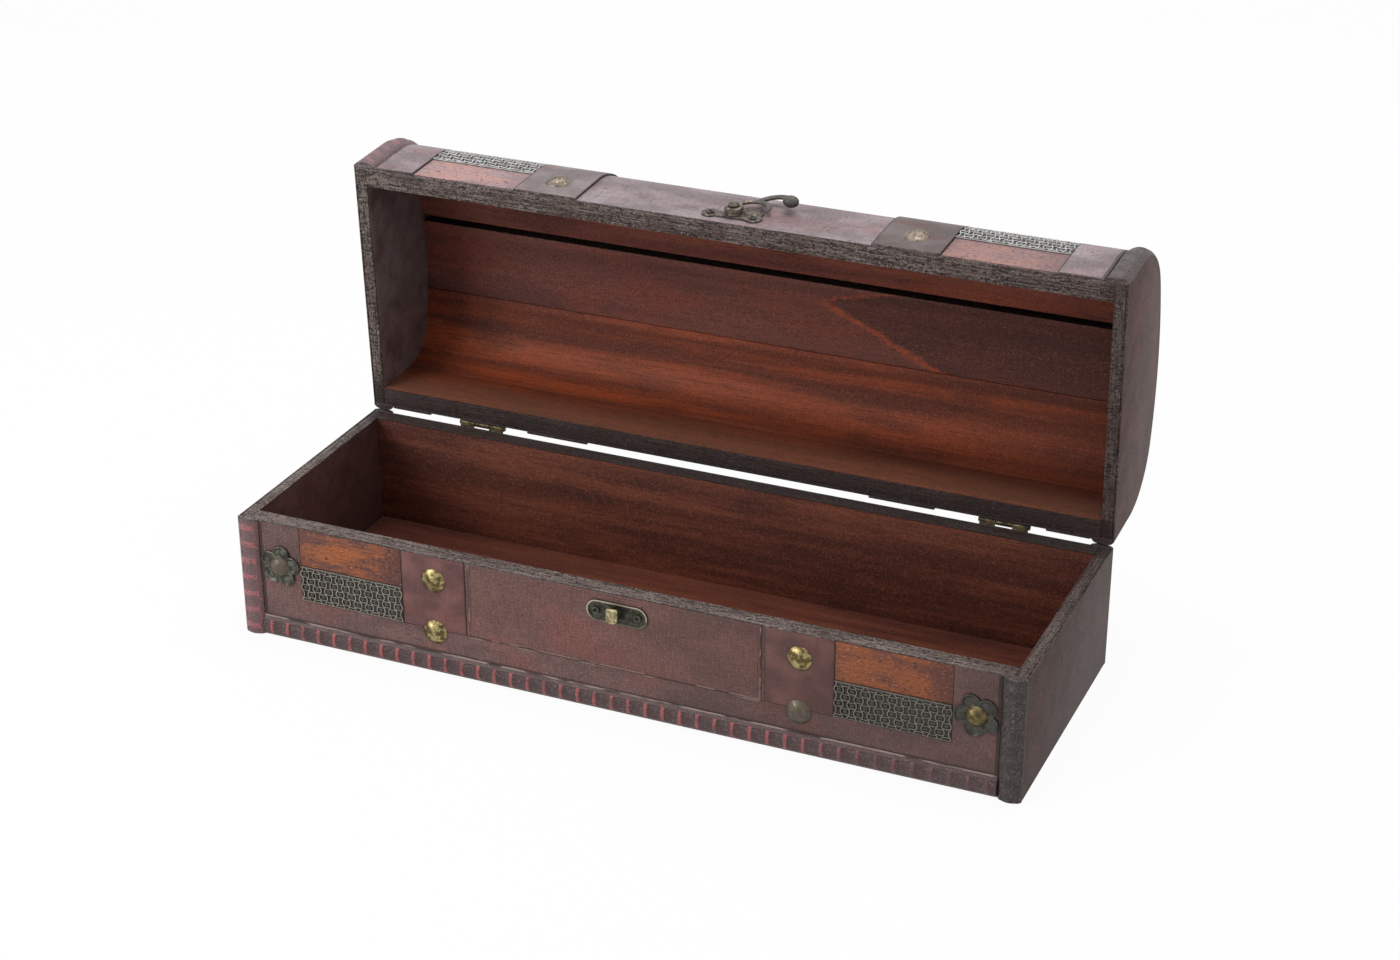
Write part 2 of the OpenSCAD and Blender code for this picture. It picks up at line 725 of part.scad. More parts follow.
lid_end_covering(-1);  // lid_left_end_covering
lid_end_covering(1);  // lid_right_end_covering
lid_band(-1);  // lid_left_band
lid_band(1);  // lid_right_band
lid_strap(-1);  // lid_left_strap
lid_strap(1);  // lid_right_strap
lid_end_straps();
lid_panel(-1);  // lid_left_panel
lid_panel(1);  // lid_right_panel
lid_woven_panel(-1);  // lid_left_woven_panel
lid_woven_panel(1);  // lid_right_woven_panel
lid_tacks();
clasp_plate();
clasp_pins();
clasp_rivet();
color(brass) lid_place() translate([hinge_xs[0], hinge_y, hinge_z - rim_z]) hinge_leaf(1);  // lid_left_hinge_leaf
color(brass) lid_place() translate([hinge_xs[1], hinge_y, hinge_z - rim_z]) hinge_leaf(1);  // lid_right_hinge_leaf
color(brass) lid_place() leaf_screws(1, hinge_z - rim_z);  // lid_hinge_screws
hook_arm();
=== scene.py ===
# %% [markdown]
# # A wooden wine box with a domed lid
# The box is thin boards covered in red-brown leatherette. Its lid is three staves bent over two end
# boards, and it stands open on two small hinges. Straps, hammered tacks, woven metal panels, cast
# rosettes and a swing hook clasp dress the front.
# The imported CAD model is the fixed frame: it says where every piece goes and which body it moves with.
# Everything here is modelled in millimetres and scaled to metres when it is put in its place.

# %% Load the frame
import math
import random

import bpy
from mathutils import Matrix, Vector


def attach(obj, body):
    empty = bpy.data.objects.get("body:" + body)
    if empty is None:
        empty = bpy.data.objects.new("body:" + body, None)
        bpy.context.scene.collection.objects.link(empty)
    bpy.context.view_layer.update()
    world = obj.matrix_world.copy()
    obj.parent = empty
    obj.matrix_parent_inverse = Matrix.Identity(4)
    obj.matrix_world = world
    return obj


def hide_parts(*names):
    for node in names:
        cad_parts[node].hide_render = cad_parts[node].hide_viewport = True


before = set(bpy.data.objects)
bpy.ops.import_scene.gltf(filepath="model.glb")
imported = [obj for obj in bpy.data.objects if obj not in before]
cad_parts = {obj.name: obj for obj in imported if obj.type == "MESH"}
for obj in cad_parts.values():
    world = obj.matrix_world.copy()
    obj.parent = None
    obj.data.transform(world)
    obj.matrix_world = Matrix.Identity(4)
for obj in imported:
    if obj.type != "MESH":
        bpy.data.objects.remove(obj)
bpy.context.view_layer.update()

# %% [markdown]
# ## The camera
# The camera stands to the right of the box and looks down on it, with a short telephoto lens. Its place
# is written as the point it looks at, two angles and a distance, as a photographer would note it. A
# camera looks along its own minus Z, so its matrix has the right, up and back directions as columns.

# %% Camera
MM = Matrix.Scale(0.001, 4)
look_at = Vector((14.11, 0, 84.12))
azimuth, elevation, roll = (math.radians(a) for a in (23.49, 26.23, -0.12))
distance = 1167.7

back = Vector((math.sin(azimuth) * math.cos(elevation), -math.cos(azimuth) * math.cos(elevation),
               math.sin(elevation)))
level = (-back).cross(Vector((0, 0, 1))).normalized()
upright = level.cross(-back)
right = math.cos(roll) * level + math.sin(roll) * upright
up = math.cos(roll) * upright - math.sin(roll) * level

camera = bpy.data.objects.new("camera", bpy.data.cameras.new("camera"))
bpy.context.collection.objects.link(camera)
camera.data.sensor_width = 36
camera.data.lens = 70.56
camera.data.clip_start = 0.01
turn = Matrix((right, up, back)).transposed().to_4x4()
camera.matrix_world = Matrix.Translation((look_at + distance * back) * 0.001) @ turn
bpy.context.scene.camera = camera
print("camera at", camera.matrix_world.translation)

# %% [markdown]
# ## Writing materials as sums
# A material is a graph of nodes, which is tedious to wire by hand. A Value stands for one number that
# changes over a surface, and adding or multiplying two Values adds the Math node that does it. A Graph
# is one tree of nodes, and a Finish is the graph of one material: it measures places in millimetres,
# makes soft patches, and lays one coat of colour over another.

# %% Values
class Value:
    """A number, colour or place that changes over the surface."""

    def __init__(self, graph, socket):
        self.graph = graph
        self.socket = socket

    def math(self, operation, one, two=0.0):
        return self.graph.add("ShaderNodeMath", {"operation": operation}, [one, two])

    def __add__(self, other):
        return self.math("ADD", self, other)

    def __sub__(self, other):
        return self.math("SUBTRACT", self, other)

    def __rsub__(self, other):
        return self.math("SUBTRACT", other, self)

    def __mul__(self, other):
        return self.math("MULTIPLY", self, other)

    def __abs__(self):
        return self.math("ABSOLUTE", self)

    def over(self, other):
        """The larger of the two."""
        return self.math("MAXIMUM", self, other)

    def under(self, other):
        """The smaller of the two."""
        return self.math("MINIMUM", self, other)

    def beside(self, output):
        """Another output of the same node."""
        return Value(self.graph, self.socket.node.outputs[output])

    __radd__ = __add__
    __rmul__ = __mul__


# %% Graphs
WHITE = (1, 1, 1, 1)


def colour(code):
    """A web colour such as 6b3524 as the linear numbers that Blender's shaders use."""
    parts = [int(code[i:i + 2], 16) / 255 for i in (0, 2, 4)]
    return tuple(c / 12.92 if c <= 0.04045 else ((c + 0.055) / 1.055) ** 2.4 for c in parts) + (1.0,)


class Graph:
    """The node tree of a world or a material."""

    def __init__(self, owner):
        self.owner = owner
        owner.use_nodes = True
        self.tree = owner.node_tree

    def add(self, kind, settings=None, inputs=(), output=0):
        """Adds a node: its settings first, then the values or links of its sockets."""
        node = self.tree.nodes.new(kind)
        for key, value in (settings or {}).items():
            setattr(node, key, value)
        for key, value in (inputs.items() if isinstance(inputs, dict) else enumerate(inputs)):
            if isinstance(value, Value):
                self.tree.links.new(value.socket, node.inputs[key])
            else:
                node.inputs[key].default_value = value
        return Value(self, node.outputs[output])

    def seen(self):
        """1 for rays that come from the camera, from a reflection or through a clear body."""
        camera_ray = self.add("ShaderNodeLightPath", output="Is Camera Ray")
        mirrored, through = camera_ray.beside("Is Glossy Ray"), camera_ray.beside("Is Transmission Ray")
        return camera_ray.over(mirrored).over(through)

    def show(self, output, old, share, one, two):
        """Takes out the old shader. Shows shader one, or for that share of the rays shader two."""
        self.tree.nodes.remove(self.tree.nodes[old])
        blend = self.add("ShaderNodeMixShader", {}, [share, one, two])
        self.tree.links.new(blend.socket, self.tree.nodes[output].inputs[0])


# %% Finishes
class Finish(Graph):
    """One material around Blender's Principled shader."""

    def __init__(self, name, **constants):
        super().__init__(bpy.data.materials.new(name))
        self.shader = self.tree.nodes["Principled BSDF"]
        for socket, value in constants.items():
            self.shader.inputs[socket.replace("_", " ").title().replace("Ior", "IOR")].default_value = value
        self.place = self.add("ShaderNodeTexCoord", output="Object")
        self.x = self.add("ShaderNodeSeparateXYZ", {}, [self.vector("SCALE", self.place, {"Scale": 1000})])
        self.y, self.z = self.x.beside("Y"), self.x.beside("Z")
        self.relief = None

    def vector(self, operation, one, others):
        """Vector maths, for places."""
        return self.add("ShaderNodeVectorMath", {"operation": operation}, {0: one, **others})

    def along(self, row):
        """Distance in millimetres along a direction: a row of a matrix with its last number as offset."""
        at = self.vector("DOT_PRODUCT", self.place, {1: [1000 * v for v in row[:3]]})
        return at.beside("Value") + row[3]

    def cloud(self, size, detail=2.0, seed=0.0):
        """Soft random patches. The size is in millimetres, one number or one for each direction."""
        sizes = size if isinstance(size, tuple) else (size,) * 3
        spread = self.vector("MULTIPLY", self.place, {1: [1000 / s for s in sizes]})
        moved = self.vector("ADD", spread, {1: (seed, 1.7 * seed, 2.3 * seed)})
        return self.add("ShaderNodeTexNoise", {}, {"Vector": moved, "Scale": 1.0, "Detail": detail})

    def fade(self, value, low, high):
        """0 below low, 1 above high and smooth between."""
        return self.add("ShaderNodeMapRange", {"interpolation_type": "SMOOTHSTEP"},
                        {"Value": value, "From Min": low, "From Max": high})

    def line(self, value, middle, half, soft=0.3):
        """1 within half of the middle, and fading out over soft."""
        return 1 - self.fade(abs(value - middle), half, half + soft)

    def number(self, name):
        """A number that the model carries at each of its points."""
        return self.add("ShaderNodeAttribute", {"attribute_name": name}, output="Fac")

    def mix(self, share, one, two, how="MIX"):
        return self.add("ShaderNodeMix", {"data_type": "RGBA", "blend_type": how},
                        {0: share, 6: one, 7: two}, output=2)

    def start(self, share, one, two):
        """The first coat: two colours and the share of the second."""
        self.paint = self.mix(share, colour(one), colour(two))

    def coat(self, share, code, how="MIX"):
        """Lays one more colour over the paint."""
        self.paint = self.mix(share, self.paint, colour(code), how)

    def bump(self, height, depth):
        """Raises the surface by height times depth in millimetres."""
        inputs = {"Height": height, "Distance": depth * 0.001, "Strength": 1.0}
        if self.relief is not None:
            inputs["Normal"] = self.relief
        self.relief = self.add("ShaderNodeBump", {}, inputs)

    def done(self, roughness, metallic=None):
        """Plugs the finished colour, roughness and relief into the shader."""
        for socket, value in (("Base Color", self.paint), ("Roughness", roughness), ("Metallic", metallic),
                              ("Normal", self.relief)):
            if value is not None:
                self.tree.links.new(value.socket, self.shader.inputs[socket])
        print("finish", self.owner.name, len(self.tree.nodes), "nodes")
        return self.owner


# %% [markdown]
# ## Light
# A product photograph like this is lit by big soft lamps, so that leather shows a wide dull sheen and
# metal small bright spots. The world gives even light from all round. One large lamp hangs above and
# one stands to the left of the camera. The background is plain white to the camera and to reflections.

# %% World and lamps
FILL_LIGHT = 0.52
world = bpy.data.worlds.new("studio")
bpy.context.scene.world = world
studio = Graph(world)
studio.show("World Output", "Background", studio.seen(),
            studio.add("ShaderNodeBackground", {}, {"Color": WHITE, "Strength": FILL_LIGHT}),
            studio.add("ShaderNodeBackground", {}, {"Color": WHITE, "Strength": 1.0}))


def softbox(name, place, aim, size, power):
    """A square lamp at a place in metres, turned to face a point."""
    lamp = bpy.data.objects.new(name, bpy.data.lights.new(name, "AREA"))
    bpy.context.collection.objects.link(lamp)
    lamp.data.size = size
    lamp.data.energy = power
    lamp.location = place
    lamp.rotation_euler = (Vector(place) - Vector(aim)).to_track_quat("Z", "Y").to_euler()


softbox("overhead", (0.05, 0.25, 1.5), (0, 0.05, 0.1), 1.1, 15)
softbox("key", (-0.9, -1.0, 0.75), (-0.05, 0, 0.05), 0.7, 9.5)
bpy.context.scene.view_settings.view_transform = "Standard"

# %% [markdown]
# ## The table
# The photograph has a clean white background. The table is a plain sheet that turns white for the
# camera and for reflections, and keeps a little of its own shading, so that the box still has a shadow.

# %% Table
TABLE_GLOW = 0.94
bpy.ops.object.select_all(action="DESELECT")
bpy.ops.mesh.primitive_plane_add(size=12, location=(0, 0, -0.0002))
table = bpy.context.object
table.name = "table"
sheet = Graph(bpy.data.materials.new("white_sheet"))
sheet.show("Material Output", "Principled BSDF", sheet.seen() * TABLE_GLOW,
           sheet.add("ShaderNodeBsdfDiffuse", {}, {"Color": (0.8, 0.8, 0.8, 1)}),
           sheet.add("ShaderNodeEmission", {}, {"Color": WHITE}))
table.data.materials.append(sheet.owner)
print("table and lamps ready")

# %% [markdown]
# ## The lid's own directions
# The lid is drawn lying on its rim and then turned back about the hinge pins. The same matrix places
# the pieces made here, and its inverse lets a material ask how far a point is from the lid's rim.

# %% Places
HINGE = Vector((0, 61.7, 58.03646))
RIM_Z = 56.8
OPEN = math.radians(87.3)
BASE_H = 56.5
FRONT = 60
LID = (Matrix.Translation(HINGE) @ Matrix.Rotation(-OPEN, 4, "X")
       @ Matrix.Translation((0, -HINGE.y, RIM_Z - HINGE.z)))
BASE_RIM = (0, 0, -1, BASE_H)
LID_BACKWARD, LID_RIM = (tuple(LID.inverted()[row]) for row in (1, 2))


def on_front(x, z, lid=False):
    """The place of a piece that is modelled flat, with Z out of the front."""
    flat = Matrix.Translation((x, -FRONT, z)) @ Matrix.Rotation(math.pi / 2, 4, "X")
    return MM @ (LID @ flat if lid else flat)


def on_back(x, z):
    """The same on the back: the piece is turned to face the other way, with Y still up."""
    return MM @ Matrix.Translation((x, FRONT, z)) @ Matrix.Rotation(math.pi, 4, "Z") @ Matrix.Rotation(
        math.pi / 2, 4, "X")


print("lid's upward direction is now", [round(v, 3) for v in LID_RIM])

# %% [markdown]
# ## Waxed boards
# The inside shows stained softwood. Its grain runs along the box: long streaks that are wide in X and
# narrow across. Every rim is cut bare, rubbed with dark wax and worn at its edges, so the material
# paints a grainy grey-brown skin on whatever lies within about half a millimetre of the rim, with a
# ragged border. Its layer lines run the way that the rim does.

# %% Wood
ALONG_X, ALONG_Y, ALONG_Z = (20, 0.6, 0.6), (0.6, 20, 0.6), (0.6, 0.6, 20)


def rim_paint(f, rim, run=ALONG_X):
    """Paints the cut rim over the rest: layer lines that run along it, dark pits and pale grains."""
    below = f.paint
    edge = f.along(rim) + 1.3 * f.cloud(1.7, 4, 5)
    on_rim = 1 - f.fade(edge, 0.95, 1.3)
    layers = f.cloud(run, 3, 8)
    grains = f.cloud(0.85, 4, 2)
    pits = f.fade(f.cloud((2.2, 1.0, 1.0), 4, 4), 0.54, 0.64)
    from_hinges = abs(f.y - HINGE.y).over(abs(f.z - HINGE.z))
    by_hinges = 1 - f.fade(from_hinges, 9, 16)
    f.start(f.fade(layers + 0.6 * grains, 0.64, 0.98), "3d3330", "7a6c67")
    f.coat(f.fade(grains, 0.57, 0.69) * 0.6, "a39993")
    f.coat(f.fade(f.cloud(16, 3, 17), 0.42, 0.66) * 0.5, "4f3d38")
    f.coat(pits * 0.85, "241e1c")
    # Darker near the hinges, and painted shade on the rim at the right end of the box, away from the key
    # lamp.
    f.coat(by_hinges.over(f.fade(f.x, 168, 171) * 0.55) * 0.82, "2c1f1d")
    f.bump(on_rim * (layers - 0.7 * pits + 0.7 * grains), 0.4)
    f.paint = f.mix(on_rim, below, f.paint)


def board_wood(name, dark, light, rim, streak=0.5, figure=None, run=ALONG_X, patch="3d211c"):
    """Stained softwood with its grain along the box. figure paints what only one board has."""
    f = Finish(name, specular_ior_level=0.22)
    bend = f.cloud((120, 30, 30), 1, 1)
    long = f.cloud((130, 7, 7), 3, 3) + 0.35 * bend
    fine = f.cloud((34, 0.8, 0.8), 3, 6)
    weave = f.cloud(0.75, 3, 14)
    pores = f.cloud((6, 0.55, 0.55), 2, 11)
    f.start(f.fade(long, 0.48, 0.84), dark, light)
    f.coat(f.fade(fine, 0.42, 0.7) * streak, dark)
    f.coat(f.fade(f.cloud((42, 15, 15), 4, 9), 0.48, 0.7) * 0.5, patch)
    if figure:
        figure(f)
    f.coat(f.fade(pores, 0.54, 0.68) * 0.4, "2b1512")
    f.coat(f.fade(weave, 0.52, 0.7) * 0.24, "a86f5c")
    f.coat((1 - f.fade(weave, 0.32, 0.46)) * 0.4, "2b1713")
    f.bump(0.6 * fine + 0.6 * weave - 0.5 * pores, 0.1)
    rim_paint(f, rim, run)
    return f.done(0.48 + 0.2 * fine)


APEX_X, APEX_Y = 27.0, -6.6
# The walls of the open slot between the staves are painted near black: painted shade.
SLOT_Y, SLOT_SHADE = -16.7, "0c0807"


def in_the_slot(f):
    """1 on the walls of the open slot between the front stave and the top stave, where painted shade goes."""
    return f.line(f.along(LID_BACKWARD), SLOT_Y, 1.62, 0.25)


def flame(f):
    """The flame of flat-sawn grain on the top stave: two ragged pale lines round a dark tongue."""
    ragged = 5.5 * (f.cloud((9, 3, 3), 3, 31) - 0.5) + 4.0 * (f.cloud((2, 1, 1), 3, 33) - 0.5)
    across = f.along(LID_BACKWARD) - APEX_Y + ragged
    run = f.x - APEX_X
    upper = across + 0.238 * run
    lower = 0.447 * run - across
    tongue = f.fade(upper.under(lower), -0.4, 1.2)
    around = (1 - tongue) * f.line(f.x, 45, 45, 50)
    arms = f.line(lower, -0.6, 0.4, 2.3).over(f.line(upper, -0.3, 0.2, 1.1) * (1 - f.fade(run, 36, 46)))
    strength = 0.3 + 0.55 * f.fade(f.cloud(5, 3, 35), 0.36, 0.6)
    f.coat(tongue * 0.5, "3c2621")
    f.coat(around * 0.3, "73473a")
    f.coat(arms * f.fade(run, -3, 5) * strength, "994a30")
    # Painted shade on the walls of the slot.
    f.coat(in_the_slot(f), SLOT_SHADE)


def slot_shade_and_patch(f):
    """Painted shade on the front stave's edge at the slot, and a warmer patch at its right."""
    f.coat(f.fade(f.x, 40, 90) * f.fade(f.cloud((30, 9, 9), 3, 5), 0.42, 0.62) * 0.6, "84402c")
    f.coat(in_the_slot(f), SLOT_SHADE)


def back_stave_tones(f):
    """The back of the lid is darker towards its right end and paler brown near the hinges."""
    f.coat(f.fade(f.x + 60 * f.cloud(40, 3, 8), 90, 190) * 0.5, "4b261e")
    up = f.along(LID_RIM) + 14 * f.cloud((60, 12, 12), 3, 19)
    f.coat((1 - f.fade(up, 16, 40)) * 0.7, "754f3e")


wood_base = board_wood("waxed_boards_of_the_base", "4f2a21", "74402f", BASE_RIM)
wood_ends = board_wood("dark_end_boards", "46302d", "583c38", BASE_RIM, 0.3, None, ALONG_Y)
# The lid's end boards are painted paler than the base's, to make up for the shade inside the lid: painted
# light.
wood_lid_ends = board_wood("dark_end_boards_of_the_lid", "6c5f60", "7f7071", LID_RIM, 0.3, None, ALONG_Z)
wood_front_stave = board_wood("front_stave_wood", "60352f", "7e4738", LID_RIM, 0.4, slot_shade_and_patch)
wood_top_stave = board_wood("top_stave_wood", "55322e", "6c3f37", LID_RIM, 0.4, flame, ALONG_X, "7a3c2e")
wood_back_stave = board_wood("back_stave_wood", "5c2a1c", "944525", LID_RIM, 0.45, back_stave_tones)

# %% [markdown]
# ## Leatherette
# The covering is paper-thin cloth with a red-brown coat pressed into a canvas grain. The threads are two
# clouds, one drawn out along the box and one across it. Broad clouds make the mottled colour, and painted
# shade lines darken the coat where strips and straps meet it.

# %% Leatherette
SHADED = "35231f"


def leatherette(name, dark, light, red, rim, marks=None, shade=0.0, ribs=1.0, run=ALONG_X, sheen=0.12):
    """Coated canvas: fine threads, mottled colour, dark specks and the marks that a function paints. The
    shade number is how much painted shade darkens its right side, away from the key lamp.
    """
    f = Finish(name, specular_ior_level=2.5 * sheen, sheen_weight=sheen, sheen_roughness=0.5)
    threads = f.cloud((5, 0.42, 0.42), 1, 1) + f.cloud((0.42, 5, 5), 1, 2)
    grain = f.cloud(0.7, 2, 3)
    f.start(f.fade(f.cloud((26, 14, 14), 3, 4), 0.36, 0.66), dark, light)
    f.coat(f.fade(f.cloud((38, 17, 17), 2, 7), 0.52, 0.68) * 0.55, red)
    f.coat(f.fade(threads, 0.9, 1.25) * 0.42, "2f211f")
    f.coat(f.fade(grain, 0.52, 0.72) * 0.36, "a78a85")
    # Painted shade: darker towards the right of the box, away from the key lamp.
    f.coat(f.fade(f.x, -30, 70) * shade, SHADED)
    f.coat(f.fade(f.cloud(1.7, 1, 15), 0.68, 0.74) * 0.7, "2a1f1d")
    if marks:
        marks(f)
    f.bump(threads + 0.6 * grain, 0.10 * ribs)
    rim_paint(f, rim, run)
    return f.done(0.5 + 0.22 * grain)


# The near-black of the painted shade lines beside raised pieces, and the pale colour of worn cut edges.
SHADE_LINE, CUT_EDGE = "241b19", "a08c7c"
FRAME_TOP, FRAME_LOW, STRIP_BORDER, STRAP_BORDER = 20.7, 9.8, 169.2, 149.95
PANEL_END, PANEL_LOW, PANEL_HIGH, PANEL_T = 67.25, 21.0, 55.9, 0.4


def by_the_strips(f, half):
    """A ragged border, and 1 beside the strips at the ends of the box."""
    ragged = 0.8 * (f.cloud(3, 2, 20) - 0.5)
    return ragged, f.line(abs(f.x) + ragged, STRIP_BORDER, half, 0.6)


def shade_lines_and_cut_edge(f):
    """Painted shade lines beside the strips and above the bottom strip, and the pale cut edge of the frame,
    broken by handling.
    """
    ragged, beside = by_the_strips(f, 0.7)
    above = f.line(f.z + ragged, FRAME_LOW + 0.5, 0.35, 0.4)
    on_the_front = 1 - f.fade(f.y, -20, 20)
    f.coat((beside * 0.8).over(above * on_the_front * 0.55), SHADE_LINE)
    rubbed = f.fade(f.cloud((19, 4, 4), 3, 24), 0.46, 0.54) * on_the_front
    line = f.line(f.z, FRAME_TOP - 0.2, 0.12, 0.12) * (1 - f.fade(abs(f.x), 66, 67))
    f.coat(line * rubbed * 0.8, CUT_EDGE)


def panel_edges(f):
    """Painted shade along the borders of the centre panel, with a pale cut edge rubbed here and there."""
    out = (abs(f.x) - PANEL_END).over(PANEL_LOW - f.z)
    rubbed = f.fade(f.cloud((9, 9, 9), 3, 26), 0.46, 0.54)
    f.coat(f.fade(out, -0.75, -0.45) * 0.6, SHADE_LINE)
    f.coat(f.line(out, -0.28, 0.12, 0.12) * rubbed * 0.75, CUT_EDGE)


def sheen_on_lid_front(f):
    """Painted light: the lid's front, which faces up, is painted paler for the light and sheen from above.
    Over the dome and behind, the colour is deeper and redder.
    """
    f.coat(f.fade(f.along(LID_BACKWARD), -56, -36), "cbaca4", "MULTIPLY")


def lid_sheen_and_shade_lines(f):
    """Painted light on the lid: the paler front, a painted shade line beside each band and end strap, and
    painted shade at the bottom of the slot inside.
    """
    sheen_on_lid_front(f)
    beside = by_the_strips(f, 0.6)[1] * 0.75
    strap_edge = f.line(abs(f.x), STRAP_BORDER, 0.3, 0.25) * 0.85
    inside = 1 - f.fade(f.along(LID_RIM), 56.75, 56.9)
    slot = f.line(f.along(LID_BACKWARD), SLOT_Y, 1.9, 0.1) * inside
    f.coat(beside.over(strap_edge).over(slot), SHADE_LINE)


front_leatherette = leatherette("front_leatherette", "5a4240", "6e504c", "77463f", BASE_RIM, shade_lines_and_cut_edge, 0.34)
# The lid's coat is a paler, greyer copy of the base's: painted light and sheen on the lid's front.
lid_leatherette = leatherette("lid_leatherette", "736569", "948589", "866363", LID_RIM, lid_sheen_and_shade_lines)
centre_leatherette = leatherette("centre_leatherette", "63433e", "724d47", "7c453c", BASE_RIM,
                                 panel_edges, 0.3)
# The ends' coats are painted darker than the front's: painted shade, as the right end faces away from the key
# lamp.
end_leatherette = leatherette("end_leatherette", "3c2e2b", "4b3936", "523531", BASE_RIM,
                              None, 0, 0.7, ALONG_Y, 0.04)
lid_end_leatherette = leatherette("lid_end_leatherette", "4a3533", "5b4340", "63403c", LID_RIM,
                                  None, 0, 0.7, ALONG_Z, 0.04)

# %% [markdown]
# ## Straps and orange panels
# The straps are a smoother leatherette, with painted shade along their cut edges. The orange panels are thin
# veneer that was brushed with stain along the box, so their streaks are long, bright in the middle and brown
# at the ends.

# %% Straps and panels
STRAP_X, STRAP_W, STRAP_T = 84.0, 30.5, 1.0
LAID_T = 0.4


def strap_finish(name, dark, light, rim, border, shade=0.0, figure=None):
    """Smooth leatherette. border is how much painted shade darkens its cut edges, shade how much painted
    shade darkens its right side.
    """
    f = Finish(name, specular_ior_level=0.35)
    grain = f.cloud(0.55, 2, 3)
    threads = f.cloud((6, 0.5, 0.5), 1, 1) + f.cloud((0.5, 6, 6), 1, 2)
    f.start(f.fade(f.cloud((17, 12, 12), 3, 4), 0.38, 0.66), dark, light)
    f.coat(f.fade(f.cloud((20, 8, 8), 3, 9), 0.55, 0.68) * 0.35, "743f38")
    if figure:
        figure(f)
    f.coat(f.fade(threads, 0.92, 1.3) * 0.25, "2a1e1d")
    # Painted shade: darker towards the right, away from the key lamp.
    f.coat(f.fade(f.x, -30, 70) * shade, SHADED)
    ragged = 0.5 * (f.cloud(2.5, 2, 21) - 0.5)
    edge = f.fade(abs(abs(f.x) - STRAP_X) + ragged, STRAP_W / 2 - 0.8, STRAP_W / 2 - 0.2)
    # Painted shade along the cut edges of the strap.
    f.coat(edge * border, "231a19")
    f.bump(grain + 0.5 * threads, 0.08)
    rim_paint(f, rim)
    return f.done(0.44 + 0.25 * grain)


def veneer(name, dark, light, bright, rim):
    """Thin wood with brushed stain, bright in its heart. The one at the right is painted darker and browner:
    painted shade, away from the key lamp.
    """
    f = Finish(name, specular_ior_level=0.3)
    streaks = f.cloud((11, 0.9, 0.9), 4, 2)
    broad = f.cloud((17, 6, 6), 4, 5)
    grains = f.cloud((1.6, 0.8, 0.8), 3, 15)
    heart = 1 - f.fade(abs(abs(f.x + 6) - 125), 8, 30)
    ends = f.fade(abs(abs(f.x + 3) - 124) + 18 * f.cloud(7, 4, 8), 25, 35)
    f.start(f.fade(streaks, 0.36, 0.64), dark, light)
    f.coat(f.fade(broad + 0.3 * streaks + 0.1 * heart, 0.6, 0.84) * 0.9, bright)
    f.coat(ends * 0.85, dark)
    # Painted shade on the panel at the right.
    f.coat(f.fade(f.x, -20, 20) * 0.38, "5e3124")
    f.coat(f.fade(grains, 0.55, 0.7) * 0.35, "c08a72")
    f.coat((1 - f.fade(grains, 0.32, 0.46)) * 0.6, "3b211b")
    f.coat(f.fade(f.cloud(2.6, 1, 11), 0.72, 0.76) * 0.8, "33201b")
    f.bump(streaks, 0.12)
    rim_paint(f, rim)
    return f.done(0.42 + 0.25 * streaks)


base_strap = strap_finish("base_strap_leatherette", "5c3c3a", "78504b", BASE_RIM, 0.6, 0.33)
# The lid's straps are a paler copy of the base's: painted light on the lid's front, with painted shade to the
# right.
lid_strap = strap_finish("lid_strap_leatherette", "706465", "897d7e", LID_RIM, 0.85, 0.5, sheen_on_lid_front)
base_veneer = veneer("orange_veneer", "583731", "764538", "99552c", BASE_RIM)
# The lid's panels are a paler, pinker copy of the orange veneer: painted light and sheen on the lid's front.
lid_veneer = veneer("pink_orange_veneer", "8a7275", "a18a8d", "ab8580", LID_RIM)

# %% [markdown]
# ## Embossed strips
# One stamped strip trims the box: pressed blocks with upright bars between them. The model carries a
# stamp number at every point, 0 in a block, 1 on a bar, 0.5 on the plain margins and 2 on the thin
# raised lip, and the finish turns that number into colour.

# %% Strip finish
def strip_finish(name, bar, block, margin, rim, shaded_bars=None, rubbed=0.9):
    """Stamped trim. Its bars may turn to a darker colour at the right of the box, as painted shade; rubbed is
    how ragged they are.
    """
    f = Finish(name, specular_ior_level=0.45)
    stamp = f.number("stamp")
    grain = f.cloud(0.8, 3, 3)
    wear = f.cloud(5, 3, 6)
    bars = colour(bar)
    if shaded_bars:
        # Painted shade: the bars darken towards the right of the box.
        to_right = f.fade(f.x + 30 * f.cloud(30, 2, 14), 60, 170)
        bars = f.mix(to_right, bars, colour(shaded_bars))
    f.start(1 - f.fade(stamp, 0.1, 0.4), margin, block)
    ragged = stamp + rubbed * (f.cloud(1.6, 3, 9) - 0.5)
    bar_here = f.fade(ragged, 0.62, 0.95) * (1 - f.fade(stamp, 1.2, 1.4))
    f.paint = f.mix(bar_here * (1 - f.fade(wear, 0.5, 0.68) * 0.7), f.paint, bars)
    f.coat(f.fade(grain, 0.5, 0.72) * 0.35, "8f7f7b")
    f.coat((1 - f.fade(grain, 0.3, 0.46)) * 0.5, "2a2020")
    f.coat(f.fade(stamp, 1.2, 1.4) * 0.8, "3a2a28")
    f.coat(f.fade(stamp, 1.4, 1.8) * f.fade(f.cloud((16, 3, 3), 2, 12), 0.42, 0.54) * 0.8, "a38f88")
    f.bump(grain, 0.16)
    rim_paint(f, rim)
    return f.done(0.38 + 0.3 * wear)


red_strip = strip_finish("red_barred_strip", "a04e50", "442e2f", "4d3836", BASE_RIM, "5c373b")
pink_corner = strip_finish("pink_barred_strip", "9c5a60", "684c4e", "6b4c4d", BASE_RIM, None, 2.4)
